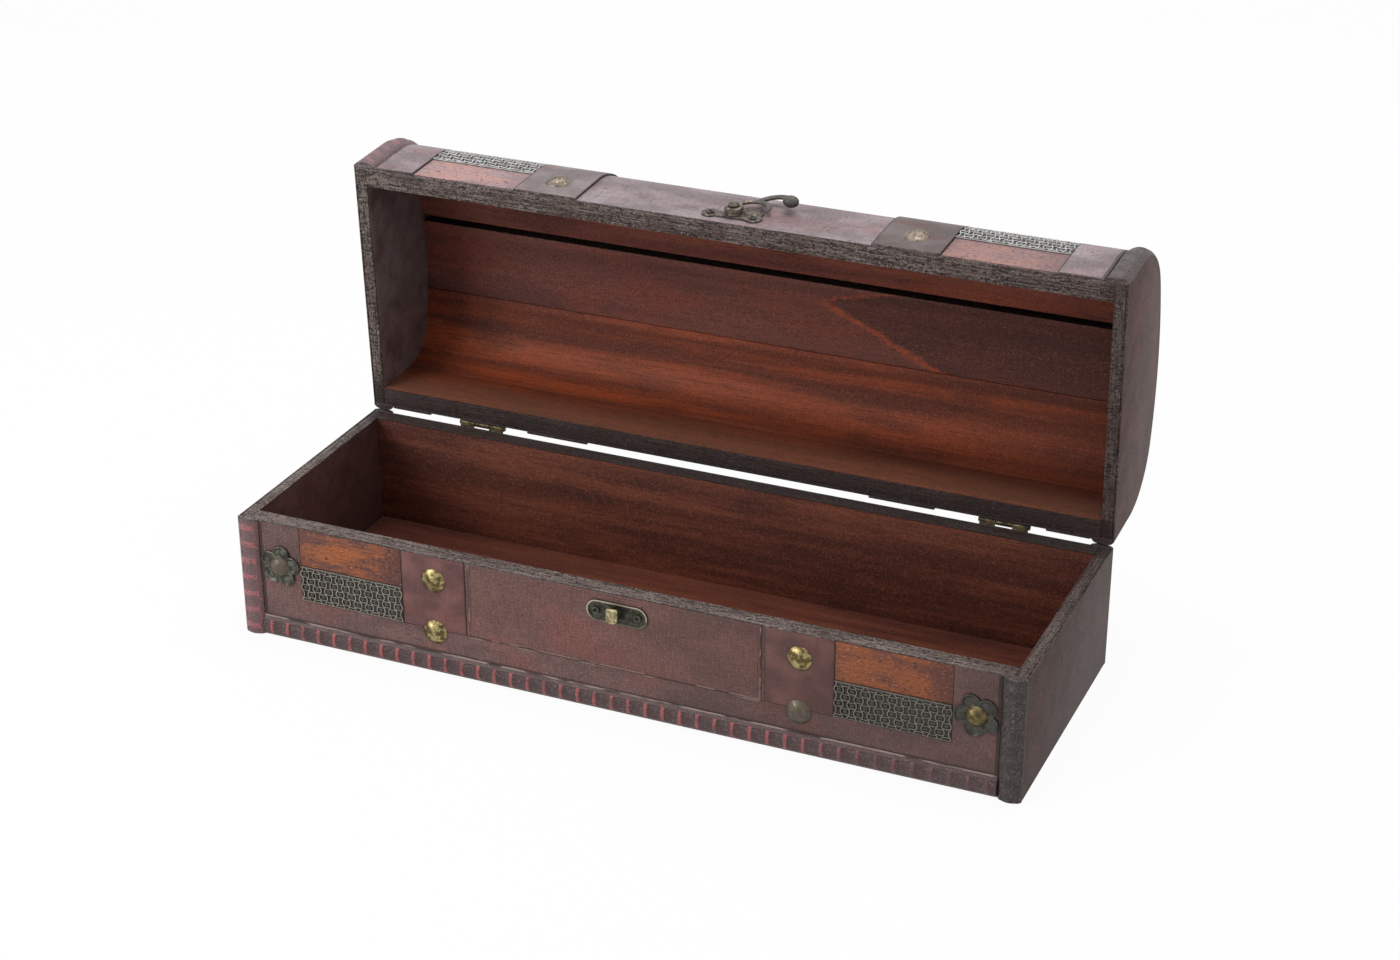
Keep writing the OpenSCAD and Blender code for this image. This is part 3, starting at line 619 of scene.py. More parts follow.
# The left band is a lit pink copy and the right band a shaded grey copy of the same band: painted light and
# shade.
pink_band = strip_finish("pink_barred_band", "855c62", "665255", "6a5558", LID_RIM, None, 2.0)
grey_corner = strip_finish("grey_strip", "312726", "2a2120", "2e2423", BASE_RIM)
grey_band = strip_finish("grey_band", "463a39", "3c3332", "413735", LID_RIM)

# %% [markdown]
# ## Metals
# The tacks and the knob are antique brass: bright where hands rub, brown in the hollows. The cast and
# stamped fittings are a dull green-brown bronze. The wires of the woven panels are painted grey-green
# over a near-black backing.

# %% Metals
def metal(name, dark, light, patina, size, rough, darkening=None, darkening_colour="4c423d"):
    """Aged metal: clouds of patina over a lighter base. A function passed in may mark where a darker, less
    metallic colour goes; on the knob's neck and at the right of the box that is painted shade.
    """
    f = Finish(name)
    tarnish = f.cloud(size, 4, 2)
    fine = f.cloud(size / 4, 3, 5)
    marks = f.fade(fine, 0.52, 0.66)
    f.start(f.fade(tarnish, 0.4, 0.6), light, dark)
    f.coat(marks * 0.75, patina)
    metallic = 0.95 - 0.5 * marks
    if darkening:
        darkened = darkening(f)
        f.coat(darkened, darkening_colour)
        metallic = metallic * (1 - 0.6 * darkened)
    f.bump(fine + 0.5 * tarnish, 0.09)
    return f.done(rough + 0.3 * tarnish, metallic)


def dull_corner(f):
    """The lower right tack is duller than the others."""
    return f.fade(f.x, 60, 70) * (1 - f.fade(f.z, 28, 32)) * 0.85


def shaded_right(f):
    """Painted shade: what is on the right of the box is darker, away from the key lamp."""
    return f.fade(f.x, 20, 60) * 0.75


def dull_left(f):
    """The left rosette's nail is greyer than the right one's."""
    return (1 - f.fade(f.x, -10, 10)) * 0.75


def pressed_middle(f):
    """The pressed middle of a pin, which carries a stamp number."""
    return f.number("stamp") * 0.9


def beyond_hub(f):
    """The hook's arms are darker than its hub."""
    return f.fade(f.x, 6.2, 8.2) * 0.8


def behind_tongue(f):
    """The knob's neck lies in the dark behind its tongue."""
    return f.fade(f.y, -64.05, -63.8) * 0.9


tack_brass = metal("hammered_brass", "5f5032", "a8996a", "241d16", 2.4, 0.18, dull_corner)
lid_tack_brass = metal("dull_lid_brass", "655950", "8f8274", "302926", 2.6, 0.3)
nail_brass = metal("rosette_nail_brass", "4e432c", "716443", "231e15", 2.2, 0.24, dull_left, "5a5049")
knob_brass = metal("worn_brass", "837a58", "b9ad87", "4a4130", 1.8, 0.22, behind_tongue, "1f1c18")
bronze = metal("dull_bronze", "42423c", "6d6b60", "1f1e1b", 2.2, 0.24, shaded_right, "332f29")
pin_bronze = metal("pin_bronze", "45443e", "6c685d", "22211e", 1.2, 0.36, pressed_middle, "100e0d")
hook_bronze = metal("hook_bronze", "5a514a", "8a7d72", "2c2623", 2.0, 0.34, beyond_hub, "42413e")
plate_bronze = metal("stamped_bronze", "49433e", "70665e", "242120", 1.6, 0.34)
hinge_brass = metal("hinge_brass", "3d3529", "62563e", "1d1914", 2.5, 0.34)

# %% Wires
def wire_finish(name, painted, backing, darkening=0.0):
    """Painted wires over a backing. The last number is how much painted shade darkens them at the right of
    the box.
    """
    f = Finish(name)
    woven = f.number("wire")
    patches = f.cloud(3.5, 3, 2)
    fine = f.cloud(0.6, 2, 5)
    f.start(f.fade(patches, 0.38, 0.66) * 0.5, painted, "6d675a")
    f.coat(f.fade(fine, 0.55, 0.7) * 0.5, "3f3a33")
    f.coat(f.fade(f.x, -30, 60) * darkening, "2b2823")
    f.paint = f.mix(woven, f.mix(fine, colour(backing), colour("2b2523")), f.paint)
    f.bump(fine, 0.06)
    return f.done(0.34 + 0.3 * patches, 0.55 * woven)


woven_metal = wire_finish("painted_wires", "a09a8c", "110f0e", 0.36)
# The lid's wires and backing are a paler copy of the base's: painted light on the lid's front.
lid_woven_metal = wire_finish("pale_painted_wires", "cac9c9", "463f3e")

# %% [markdown]
# ## Bench tools
# A few short helpers do what a hand does over and over in Blender: select one piece, pick faces by where
# they are, inset, draw out, cut with a plane, apply a modifier, and put the finished piece in its place.

# %% Selecting
def fresh():
    """Clears the selection, so that an operator acts only on what is added next."""
    if bpy.context.mode != "OBJECT":
        bpy.ops.object.mode_set(mode="OBJECT")
    bpy.ops.object.select_all(action="DESELECT")


def only(piece):
    """Selects one object and nothing else."""
    fresh()
    piece.select_set(True)
    bpy.context.view_layer.objects.active = piece


def pick(piece, test, kind="FACE"):
    """Selects the faces, by middle and normal, or the edges, by their two ends, that pass a test."""
    only(piece)
    bpy.ops.object.mode_set(mode="EDIT")
    bpy.ops.mesh.select_mode(type=kind)
    bpy.ops.mesh.select_all(action="DESELECT")
    bpy.ops.object.mode_set(mode="OBJECT")
    mesh = piece.data
    if kind == "FACE":
        for face in mesh.polygons:
            face.select = test(face.center, face.normal)
    else:
        for edge in mesh.edges:
            edge.select = test(*(mesh.vertices[v].co for v in edge.vertices))
    bpy.ops.object.mode_set(mode="EDIT")


def pick_top(piece):
    pick(piece, lambda c, n: n.z > 0.9)


def pick_underside(piece, below=1e3):
    pick(piece, lambda c, n: n.z < -0.9 and c.z < below)


def everything(piece):
    only(piece)
    bpy.ops.object.mode_set(mode="EDIT")
    bpy.ops.mesh.select_mode(type="VERT")
    bpy.ops.mesh.select_all(action="SELECT")


# %% Shaping
def solid(kind, **settings):
    """One of Blender's primitives, with its size and place applied."""
    fresh()
    getattr(bpy.ops.mesh, f"primitive_{kind}_add")(**settings)
    bpy.ops.object.transform_apply()
    return bpy.context.object


def block(size, middle):
    return solid("cube", size=1, location=middle, scale=size)


def disc(radius, height, low, sides, x=0.0):
    """A round plate whose underside is at a height."""
    return solid("cylinder", vertices=sides, radius=radius, depth=height, location=(x, 0, low + height / 2))


def inset(width, lift=0.0, **settings):
    """Draws a smaller face inside each picked one, and moves it up or down."""
    bpy.ops.mesh.inset(thickness=width, **settings)
    if lift:
        bpy.ops.transform.translate(value=(0, 0, lift))


def draw_out(z, x=0.0, y=0.0):
    """Extrudes the picked faces."""
    bpy.ops.mesh.extrude_region_move(TRANSFORM_OT_translate={"value": (x, y, z)})


def cut(piece, at, facing, drop=False):
    """Cuts a piece with a plane. drop takes away the side that the plane faces."""
    everything(piece)
    bpy.ops.mesh.bisect(plane_co=at, plane_no=facing, clear_outer=drop, use_fill=drop)
    bpy.ops.object.mode_set(mode="OBJECT")


def modify(piece, kind, **settings):
    """Adds a modifier, sets it and applies it."""
    only(piece)
    modifier = piece.modifiers.new(kind.lower(), kind)
    for key, value in settings.items():
        setattr(modifier, key, value)
    bpy.ops.object.modifier_apply(modifier=modifier.name)


def ease(piece, width, segments=2, angle=30):
    """Rounds the sharp edges of a piece."""
    modify(piece, "BEVEL", width=width, segments=segments, limit_method="ANGLE",
           angle_limit=math.radians(angle))


def take_away(piece, tool):
    """Cuts the shape of a tool out of a piece."""
    modify(piece, "BOOLEAN", operation="DIFFERENCE", object=tool, solver="EXACT")
    bpy.data.objects.remove(tool)


def melt(piece, grain, smoothing):
    """Joins overlapping solids into one skin, as casting does, and smooths it."""
    modify(piece, "REMESH", mode="VOXEL", voxel_size=grain)
    modify(piece, "SMOOTH", factor=0.5, iterations=smoothing)


# %% Copying and handing in
def copy_of(piece, place=None):
    """A copy with its own mesh, moved to a place."""
    twin = bpy.data.objects.new(piece.name, piece.data.copy())
    bpy.context.collection.objects.link(twin)
    if place is not None:
        twin.data.transform(place)
    return twin


def joined(pieces):
    """Several objects as one."""
    only(pieces[0])
    for piece in pieces[1:]:
        piece.select_set(True)
    if len(pieces) > 1:
        bpy.ops.object.join()
    return pieces[0]


def stamp(piece, name, number):
    """Gives every point of a piece a number, or the number that a function of its place gives."""
    layer = piece.data.attributes.new(name, "FLOAT", "POINT")
    for point, value in zip(piece.data.vertices, layer.data):
        value.value = number(point.co) if callable(number) else number
    return piece


def merged_copy(node):
    """A copy of a CAD node, whose loose triangles are merged into clean flat faces."""
    piece = copy_of(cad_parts[node])
    everything(piece)
    bpy.ops.mesh.customdata_custom_splitnormals_clear()
    bpy.ops.mesh.remove_doubles(threshold=1e-6)
    bpy.ops.mesh.dissolve_limited(angle_limit=math.radians(0.4))
    bpy.ops.object.mode_set(mode="OBJECT")
    return piece


def hand_in(piece, node, how, body, slot, finish, place=None, smooth=35):
    """Puts a finished piece in its place, on its body, for a CAD node. Its name is the node's with one
    more word, or a name of its own."""
    fresh()
    if place is not None:
        piece.data.transform(place)
    piece.name = piece.data.name = how if "_" in how else f"{node}_{how}"
    piece.data.materials.clear()
    piece.data.materials.append(finish)
    only(piece)
    bpy.ops.object.shade_smooth_by_angle(angle=math.radians(smooth))
    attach(piece, body)
    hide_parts(node)
    print(piece.name, len(piece.data.polygons), "faces")


def hand_in_eased(nodes, width, how, body, slot, finish):
    """Hands in copies of CAD nodes with soft edges, by a width in millimetres."""
    for node in nodes:
        piece = merged_copy(node)
        ease(piece, width * 0.001)
        hand_in(piece, node, how, body, slot, finish)


# %% [markdown]
# ## Boards and coverings
# The boards, staves, coverings and straps are flat or simply bent, so their CAD shapes are right. What
# they lack is the soft edge that every cut and glued board has. Each one is copied, cleaned and eased,
# and a rim then shows its layers with a fine shadow line between them.

# %% Eased boards
for body, slot, finish, width, *nodes in (
        ("base", "board_wood", wood_base, 0.3, "floor_board"),
        ("base", "board_wood", wood_base, 0.55, "front_board", "back_board"),
        ("base", "board_wood", wood_ends, 0.55, "left_end_board", "right_end_board"),
        ("lid", "board_wood", wood_front_stave, 0.4, "lid_front_rail", "lid_front_stave"),
        ("lid", "board_wood", wood_top_stave, 0.4, "lid_top_stave"),
        ("lid", "board_wood", wood_back_stave, 0.4, "lid_back_rail", "lid_back_stave"),
        ("lid", "board_wood", wood_lid_ends, 0.55, "lid_left_end_board", "lid_right_end_board"),
        ("base", "leatherette", front_leatherette, 0.2, "front_covering", "back_covering"),
        ("base", "end_leatherette", end_leatherette, 0.35, "left_end_covering", "right_end_covering"),
        ("base", "leatherette", front_leatherette, 0.12, "front_frame"),
        ("lid", "leatherette", lid_leatherette, 0.2, "lid_covering"),
        ("lid", "leatherette", lid_leatherette, 0.3, "lid_end_straps"),
        ("lid", "end_leatherette", lid_end_leatherette, 0.35, "lid_left_end_covering",
         "lid_right_end_covering"),
        ("base", "strap_leatherette", base_strap, 0.12, "left_strap", "right_strap"),
        ("lid", "strap_leatherette", lid_strap, 0.3, "lid_left_strap", "lid_right_strap"),
        ("base", "orange_panel", base_veneer, 0.12, "left_panel", "right_panel"),
        ("lid", "orange_panel", lid_veneer, 0.12, "lid_left_panel", "lid_right_panel")):
    hand_in_eased(nodes, width, "eased", body, slot, finish)

# %% [markdown]
# ## One unit of the embossed strip
# The strip's back is a slice of a cylinder. Two cuts mark off a bar, whose ends are spread a little. The
# faces on either side of it are inset and pressed in, and an Array repeats the unit. The sides are then
# drawn down to the covering and the underside and ends are closed, so that the strip is one solid.

# %% Embossed strip
BEAD_EDGE, FLARE, BLOCK_SHARE = 0.6, 1.6, 0.34
WALL, PRESS, NEAR = 0.35, 0.28, 1e-3


def strip_unit(width, rise, pitch, bar_half, reach):
    """One unit along Y, standing on Z = 0: a bar with a pressed block on either side."""
    bow = rise - BEAD_EDGE
    radius = (width * width / 4 + bow * bow) / (2 * bow)
    unit = solid("cylinder", vertices=80, radius=radius, depth=pitch, end_fill_type="NOTHING",
                 location=(0, pitch / 2, rise - radius), rotation=(math.pi / 2, 0, 0))
    everything(unit)
    bpy.ops.mesh.bisect(plane_co=(0, 0, BEAD_EDGE), plane_no=(0, 0, -1), clear_outer=True)
    for y in (pitch / 2 - bar_half, pitch / 2 + bar_half):
        cut(unit, (0, y, 0), (0, 1, 0))
    for x in (-reach, reach):
        cut(unit, (x, 0, 0), (1, 0, 0))
    for y in (WALL, pitch - WALL):
        cut(unit, (0, y, 0), (0, 1, 0))

    def at_bar_end(p):
        return abs(abs(p.x) - reach) < NEAR and abs(p.y - pitch / 2) < bar_half + 0.01

    pick(unit, lambda a, b: at_bar_end(a) and at_bar_end(b), "EDGE")
    bpy.ops.transform.resize(value=(1, FLARE, 1))
    pick(unit, lambda c, n: abs(c.x) < reach and bar_half < abs(c.y - pitch / 2) < pitch / 2)
    inset(WALL, -PRESS, use_boundary=False)
    return unit


def close_strip(strip, length):
    """Draws the open edges down to the covering and closes the underside and the ends."""
    def on_side(a, b, z):
        return abs(a.z - z) < NEAR and abs(b.z - z) < NEAR and abs(a.x - b.x) < NEAR

    pick(strip, lambda a, b: abs(a.x) > 1 and on_side(a, b, BEAD_EDGE), "EDGE")
    bpy.ops.mesh.extrude_edges_move(TRANSFORM_OT_translate={"value": (0, 0, -BEAD_EDGE)})
    pick(strip, lambda a, b: on_side(a, b, 0), "EDGE")
    bpy.ops.mesh.bridge_edge_loops()
    for y in (0, length):
        pick(strip, lambda a, b: abs(a.y - y) < NEAR and abs(b.y - y) < NEAR, "EDGE")
        bpy.ops.mesh.edge_face_add()
    everything(strip)
    bpy.ops.mesh.normals_make_consistent(inside=False)
    bpy.ops.object.mode_set(mode="OBJECT")


def embossed_strip(width, rise, length, count, bar_half=0.62):
    """A straight strip along Y with its stamp numbers."""
    pitch, reach = length / count, BLOCK_SHARE * width
    strip = strip_unit(width, rise, pitch, bar_half, reach)
    modify(strip, "ARRAY", count=count, use_relative_offset=False, use_constant_offset=True,
           constant_offset_displace=(0, pitch, 0), use_merge_vertices=True, merge_threshold=0.01)
    close_strip(strip, length)

    def number(p):
        if abs(p.x) > reach + 0.01 or p.z < BEAD_EDGE:
            return 0.5
        half = bar_half * (FLARE if abs(p.x) > reach - 0.1 else 1)
        return 1.0 if abs(p.y % pitch - pitch / 2) < half + 0.05 else 0.0

    return stamp(strip, "stamp", number)


# %% [markdown]
# ## Corner strips and the bottom strip
# A corner strip stands on each corner of the base. Their top ends are bevelled, which lets the lid's
# bands swing past the two at the back. The strip along the bottom of the front has a thin raised lip on
# its upper edge, made from a drawn wire.

# %% Drawn wires
def wire(points, radii, sides=1):
    """A round wire through some points, as a mesh. sides is the resolution of its round."""
    line = bpy.data.curves.new("wire", "CURVE")
    line.dimensions = "3D"
    line.bevel_depth = 1.0
    line.bevel_resolution = sides
    line.use_fill_caps = True
    spline = line.splines.new("POLY")
    spline.points.add(len(points) - 1)
    for knot, place, radius in zip(spline.points, points, radii):
        knot.co = (*place, 1)
        knot.radius = radius
    piece = bpy.data.objects.new("wire", line)
    bpy.context.collection.objects.link(piece)
    only(piece)
    bpy.ops.object.convert(target="MESH")
    return bpy.context.object


# %% Corner strips
SIDES = ((-1, "left"), (1, "right"))
BAND_X, BAND_W, BAND_RISE, CHAMFER = 175, 10.0, 3.1, 0.8
SOFT = {"width": 0.25, "angle": 40}
for side, word in SIDES:
    for where, set_up in (("front", on_front), ("back", on_back)):
        strip = embossed_strip(BAND_W, BAND_RISE, BASE_H, 7, 1.15)
        cut(strip, (0, BASE_H, BAND_RISE - CHAMFER), (0, 1, 1), drop=True)
        ease(strip, **SOFT)
        finish = pink_corner if (word, where) == ("left", "front") else grey_corner
        hand_in(strip, f"{where}_{word}_corner_strip", "embossed", "base", "trim_leatherette", finish,
                set_up(side * BAND_X, 0), 40)

# %% Bottom strip
STRIP_H, STRIP_RISE = 9.5, 2.6
STRIP_END = BAND_X + 5 - BAND_W - 0.3
strip = embossed_strip(STRIP_H, STRIP_RISE, 2 * STRIP_END, 43)
ease(strip, **SOFT)
knots = [4.0 * i for i in range(85)] + [2 * STRIP_END]
lip = wire([(-STRIP_H / 2 - 0.1, y, 0.55) for y in knots],
           [0.42 + 0.07 * math.sin(2.1 * i) for i in range(len(knots))])
lay = on_front(-STRIP_END, STRIP_H / 2) @ Matrix.Rotation(-math.pi / 2, 4, "Z")
hand_in(joined([strip, stamp(lip, "stamp", 2.0)]), "bottom_strip", "embossed", "base", "trim_leatherette",
        red_strip, lay, 40)

# %% [markdown]
# ## Bands over the lid
# Each end of the lid wears the same strip, laid up the front, over the dome and down the back. The strip
# is made straight, and every point of it is then carried onto the dome: its distance along the strip
# becomes the way along the covering, and its height stays its height above it.

# %% Over the dome
RAIL, SHOULDER_R, SHOULDER_Y = 24.8, 29.4, 30.6
CROWN_R, CROWN_Z = 148.445, -90.245
CROWN_HALF = math.asin(SHOULDER_Y / (CROWN_R - SHOULDER_R))
SHOULDER_RUN = SHOULDER_R * (math.pi / 2 - CROWN_HALF)
CROWN_RUN = 2 * CROWN_R * CROWN_HALF
DOME_RUN = 2 * RAIL + 2 * SHOULDER_RUN + CROWN_RUN


def over_dome(run, height):
    """(y, z) in the lid of the point that lies run along the covering and height above it."""
    if run < RAIL:
        return -FRONT - height, run
    run -= RAIL
    if run < SHOULDER_RUN:
        t, r, y, z = math.pi - run / SHOULDER_R, SHOULDER_R, -SHOULDER_Y, RAIL
    elif run < SHOULDER_RUN + CROWN_RUN:
        t, r, y, z = math.pi / 2 + CROWN_HALF - (run - SHOULDER_RUN) / CROWN_R, CROWN_R, 0, CROWN_Z
    elif run < 2 * SHOULDER_RUN + CROWN_RUN:
        t = math.pi / 2 - CROWN_HALF - (run - SHOULDER_RUN - CROWN_RUN) / SHOULDER_R
        r, y, z = SHOULDER_R, SHOULDER_Y, RAIL
    else:
        return FRONT + height, RAIL - (run - 2 * SHOULDER_RUN - CROWN_RUN)
    return y + (r + height) * math.cos(t), z + (r + height) * math.sin(t)


def lay_over_dome(piece, x, start=0.0):
    """Carries a flat piece onto the lid, whose Y runs along the covering, and gives its place there."""
    for point in piece.data.vertices:
        point.co.y, point.co.z = over_dome(start + point.co.y, point.co.z)
    return MM @ LID @ Matrix.Translation((x, 0, 0))


print("the covering is", round(DOME_RUN, 1), "mm from rim to rim")

# %% Bands
for side, word in SIDES:
    band = embossed_strip(BAND_W, BAND_RISE, DOME_RUN, 26, 1.0)
    for y, facing in ((0, (0, -1, 1)), (DOME_RUN, (0, 1, 1))):
        cut(band, (0, y, BAND_RISE - CHAMFER), facing, drop=True)
    ease(band, **SOFT)
    hand_in(band, f"lid_{word}_band", "embossed", "lid", "trim_leatherette",
            pink_band if side < 0 else grey_band, lay_over_dome(band, side * BAND_X), 40)

# %% [markdown]
# ## The centre panel
# The panel between the straps is a second layer of leatherette with a pressed groove just inside its
# edge. A box of its size is inset for the groove, and the ring between two insets is pressed down.

# %% Centre panel
panel = block((2 * PANEL_END, PANEL_HIGH - PANEL_LOW, PANEL_T),
              (0, (PANEL_LOW + PANEL_HIGH) / 2, PANEL_T / 2))
for x in range(-60, 61, 20):
    cut(panel, (x, 0, 0), (1, 0, 0))
pick_top(panel)
inset(1.0)
inset(WALL, -PRESS)
inset(WALL, PRESS)
ease(panel, 0.08, 2, 25)
hand_in(panel, "centre_panel", "grooved", "base", "leatherette", centre_leatherette, on_front(0, 0))

# %% [markdown]
# ## Woven metal panels
# Upright wires wave in mirrored pairs, so every column between two wires is wide and narrow by turns, and
# its neighbour is narrow where it is wide. Two short rungs close each wide place into a box, and a dark
# woven strand fills it. One wire of each kind, one rung and one strand are drawn, and the rest are copies.
# The backing is a thin dark plate. On the lid the same weave is laid over the front of the dome.

# %% Weave
MESH_X0, MESH_X1 = 99.55, 149.5
WIRE_GAP, ROW = 2.9, 3.2
BACKING = 0.5
SIDE_MARGIN, END_MARGIN = 0.5, 0.3
BOX_REACH = 0.4


def backing_plate(width, height, bands):
    """The dark plate behind the wires, cut across so that it can bend over the dome."""
    plate = block((width, height, BACKING), (width / 2, height / 2, BACKING / 2))
    for k in range(1, bands):
        cut(plate, (0, k * height / bands, 0), (0, 1, 0))
    ease(plate, 0.1, 1, 40)
    return stamp(plate, "wire", 0.0)


def strand(width, height):
    """A short piece of the dark strand that shows inside a box."""
    piece = block((width, height, 0.4), (0, 0, 0.72))
    ease(piece, 0.15, 1, 40)
    return stamp(piece, "wire", 0.12)


def weave(height):
    """A woven panel in the flat, from X = 0, standing on Y = 0."""
    width = MESH_X1 - MESH_X0
    count, rows = round(width / WIRE_GAP), round(height / ROW)
    gap = (width - 2 * SIDE_MARGIN) / count
    row = (height - 2 * END_MARGIN) / rows
    wave = 0.2 * gap
    uprights = []
    for sign in (-1, 1):
        points = [(sign * wave * math.cos(math.pi * k / 4), END_MARGIN + k * row / 4,
                   0.74 + 0.1 * math.cos(math.pi * k / 2)) for k in range(4 * rows + 1)]
        uprights.append(stamp(wire(points, [0.25] * len(points)), "wire", 1.0))
    reach = gap / 2 + 0.5 * wave
    rung = stamp(wire([(-reach, 0, 0.66), (0, 0, 0.8), (reach, 0, 0.66)], [0.2] * 3), "wire", 0.85)
    filling = strand(0.62 * gap, 0.42 * row)
    made = [backing_plate(width, height, 2 * rows)]

    def lay(pattern, x, y):
        made.append(copy_of(pattern, Matrix.Translation((x, y, 0))))

    for i in range(count + 1):
        lay(uprights[i % 2], SIDE_MARGIN + i * gap, 0)
        if i == count:
            break
        middle = SIDE_MARGIN + (i + 0.5) * gap
        for k in range(i % 2, rows + 1, 2):
            if 0 < k < rows:
                lay(filling, middle, END_MARGIN + k * row)
            for side in (-1, 1):
                if 0 < k + side * BOX_REACH < rows:
                    lay(rung, middle, END_MARGIN + (k + side * BOX_REACH) * row)
    for spare in uprights + [rung, filling]:
        bpy.data.objects.remove(spare)
    for y in (END_MARGIN + 0.05, height - END_MARGIN - 0.05):
        rail = wire([(0.1, y, 0.62), (width / 2, y, 0.62), (width - 0.1, y, 0.62)], [0.3] * 3)
        made.append(stamp(rail, "wire", 0.6))
    return joined(made)


# %% Woven panels
BASE_MESH_H, LID_MESH_START = 17.0, 19.3
LID_MESH_RUN = RAIL + SHOULDER_RUN - LID_MESH_START
mesh_places = [(MESH_X0 if side > 0 else -MESH_X1, word + "_woven_panel") for side, word in SIDES]
for x, node in mesh_places:
    hand_in(weave(BASE_MESH_H), node, "wires", "base", "woven_metal", woven_metal,
            on_front(x, PANEL_LOW), 50)
for x, node in mesh_places:
    mesh = weave(LID_MESH_RUN)
    hand_in(mesh, "lid_" + node, "wires", "lid", "woven_metal", lid_woven_metal,
            lay_over_dome(mesh, x, LID_MESH_START), 50)

# %% [markdown]
# ## Hammered tacks and small nails
# A tack's head is the cap of a ball with small flats hammered into it. The ball is cut off at its seat,
# each flat is one more cut with the hole filled, and the underside is inset and drawn down as the shank.
# The tacks are copies of one head, each turned a little, so no two catch the light alike.

# %% Nails
SHANK_R, BITE = 0.9, 4.2


def nail(radius, height, seat, flats, seed=1, segments=40):
    """A domed head on a seat above the surface, with a round shank below it."""
    ball = (radius * radius + height * height) / (2 * height)
    middle = Vector((0, 0, seat + height - ball))
    head = solid("uv_sphere", segments=segments, ring_count=segments, radius=ball, location=middle)
    cut(head, (0, 0, seat), (0, 0, -1), drop=True)
    chance = random.Random(seed)
    for i in range(flats):
        lean = chance.uniform(0.0, 0.75) * math.asin(radius / ball)
        turn = 2.4 * i + chance.uniform(-0.3, 0.3)
        out = Vector((math.sin(lean) * math.cos(turn), math.sin(lean) * math.sin(turn), math.cos(lean)))
        depth = chance.uniform(0.018, 0.034) * ball
        cut(head, middle + (ball - depth) * out, out, drop=True)
    pick_underside(head, seat + NEAR)
    inset(radius - SHANK_R)
    draw_out(-seat - BITE)
    ease(head, 0.03 * radius, 2, 40)
    return head


def nails(head, places):
    """Copies of one nail at several places, joined, each turned its own way."""
    made = [copy_of(head, place @ Matrix.Rotation(1.9 * i, 4, "Z")) for i, place in enumerate(places)]
    bpy.data.objects.remove(head)
    return joined(made)


def on_crown(x, y):
    """The place of a piece that is modelled flat, on the crown of the lid."""
    lean = math.asin(y / CROWN_R)
    seat = Matrix.Translation((x, y, CROWN_Z + CROWN_R * math.cos(lean))) @ Matrix.Rotation(-lean, 4, "X")
    return MM @ LID @ seat


# %% Tacks
TACK_R, TACK_H = 5.75, 2.6
base_places = [on_front(side * STRAP_X, z) for side in (-1, 1) for z in (44.5, 19.5)]
hand_in(nails(nail(TACK_R, TACK_H, LAID_T, 9), base_places), "strap_tacks", "hammered_tacks", "base",
        "antique_brass", tack_brass, None, 32)
lid_places = [on_front(side * STRAP_X, 14, True) for side in (-1, 1)]
lid_places += [on_crown(side * STRAP_X, y) for side in (-1, 1) for y in (-23.5, 23.5)]
hand_in(nails(nail(TACK_R, TACK_H, STRAP_T, 9, 5), lid_places), "lid_tacks", "hammered_lid_tacks", "lid",
        "antique_brass", lid_tack_brass, None, 32)

# %% [markdown]
# ## Rosettes
# A rosette is cast in one piece: five round petals, each hollowed inside its rim, around a thicker
# middle. The petals start as discs whose tops are inset and pressed in. A voxel remesh then melts
# petals and middle into one skin, and smoothing rounds it as casting does.

# %% Rosettes
PETAL_R, PETAL_RING, PETAL_T, HEART_R, ROSETTE_T = 4.2, 5.8, 1.25, 4.9, 1.4


def rosette(seed, turn):
    """Five petals around a middle, as one casting. turn is the angle of its first petal."""
    petal = disc(PETAL_R, PETAL_T, 0, 36, PETAL_RING)
    pick_top(petal)
    inset(0.75)
    inset(0.5, -0.8)
    inset(1.5, 0.4)
    ease(petal, 0.25, 2, 30)
    made = []
    chance = random.Random(seed)
    for i in range(5):
        size = chance.uniform(0.96, 1.0)
        made.append(copy_of(petal, Matrix.Rotation(math.radians(turn + 72 * i), 4, "Z")
                            @ Matrix.Diagonal((size, size, 1, 1))))
    bpy.data.objects.remove(petal)
    middle = disc(HEART_R, ROSETTE_T, 0, 36)
    ease(middle, 0.4, 2, 30)
    cast = joined([middle] + made)
    melt(cast, 0.16, 2)
    return cast


ROSETTE_X, ROSETTE_Z = 159.8, 36.0
for side, word in SIDES:
    hand_in(rosette(4 + side, 27 + 16 * side), word + "_rosette", "cast", "base", "antique_bronze", bronze,
            on_front(side * ROSETTE_X, ROSETTE_Z) @ Matrix.Translation((0, 0, LAID_T)), 60)
hand_in(nails(nail(4.75, 2.8, LAID_T + ROSETTE_T - 0.1, 7, 8),
              [on_front(side * ROSETTE_X, ROSETTE_Z) for side in (-1, 1)]),
        "rosette_nails", "hammered_rosette_nails", "base", "antique_brass", nail_brass, None, 32)

# %% [markdown]
# ## The catch
# The catch plate is stamped, with a sunk field inside a raised border, and a thin pale line on the border is
# a painted highlight, broken where handling has rubbed it. The knob is a tongue on a square neck that the
# hook goes round. It starts as a box whose top is drawn out as the neck, widened and drawn out again as the
# tongue, whose ends are rounded by beveling its upright edges.

# %% Catch plate
CATCH_X, CATCH_Z = 2.8, 47.5
CATCH_LEN, CATCH_H = 28.0, 10.0


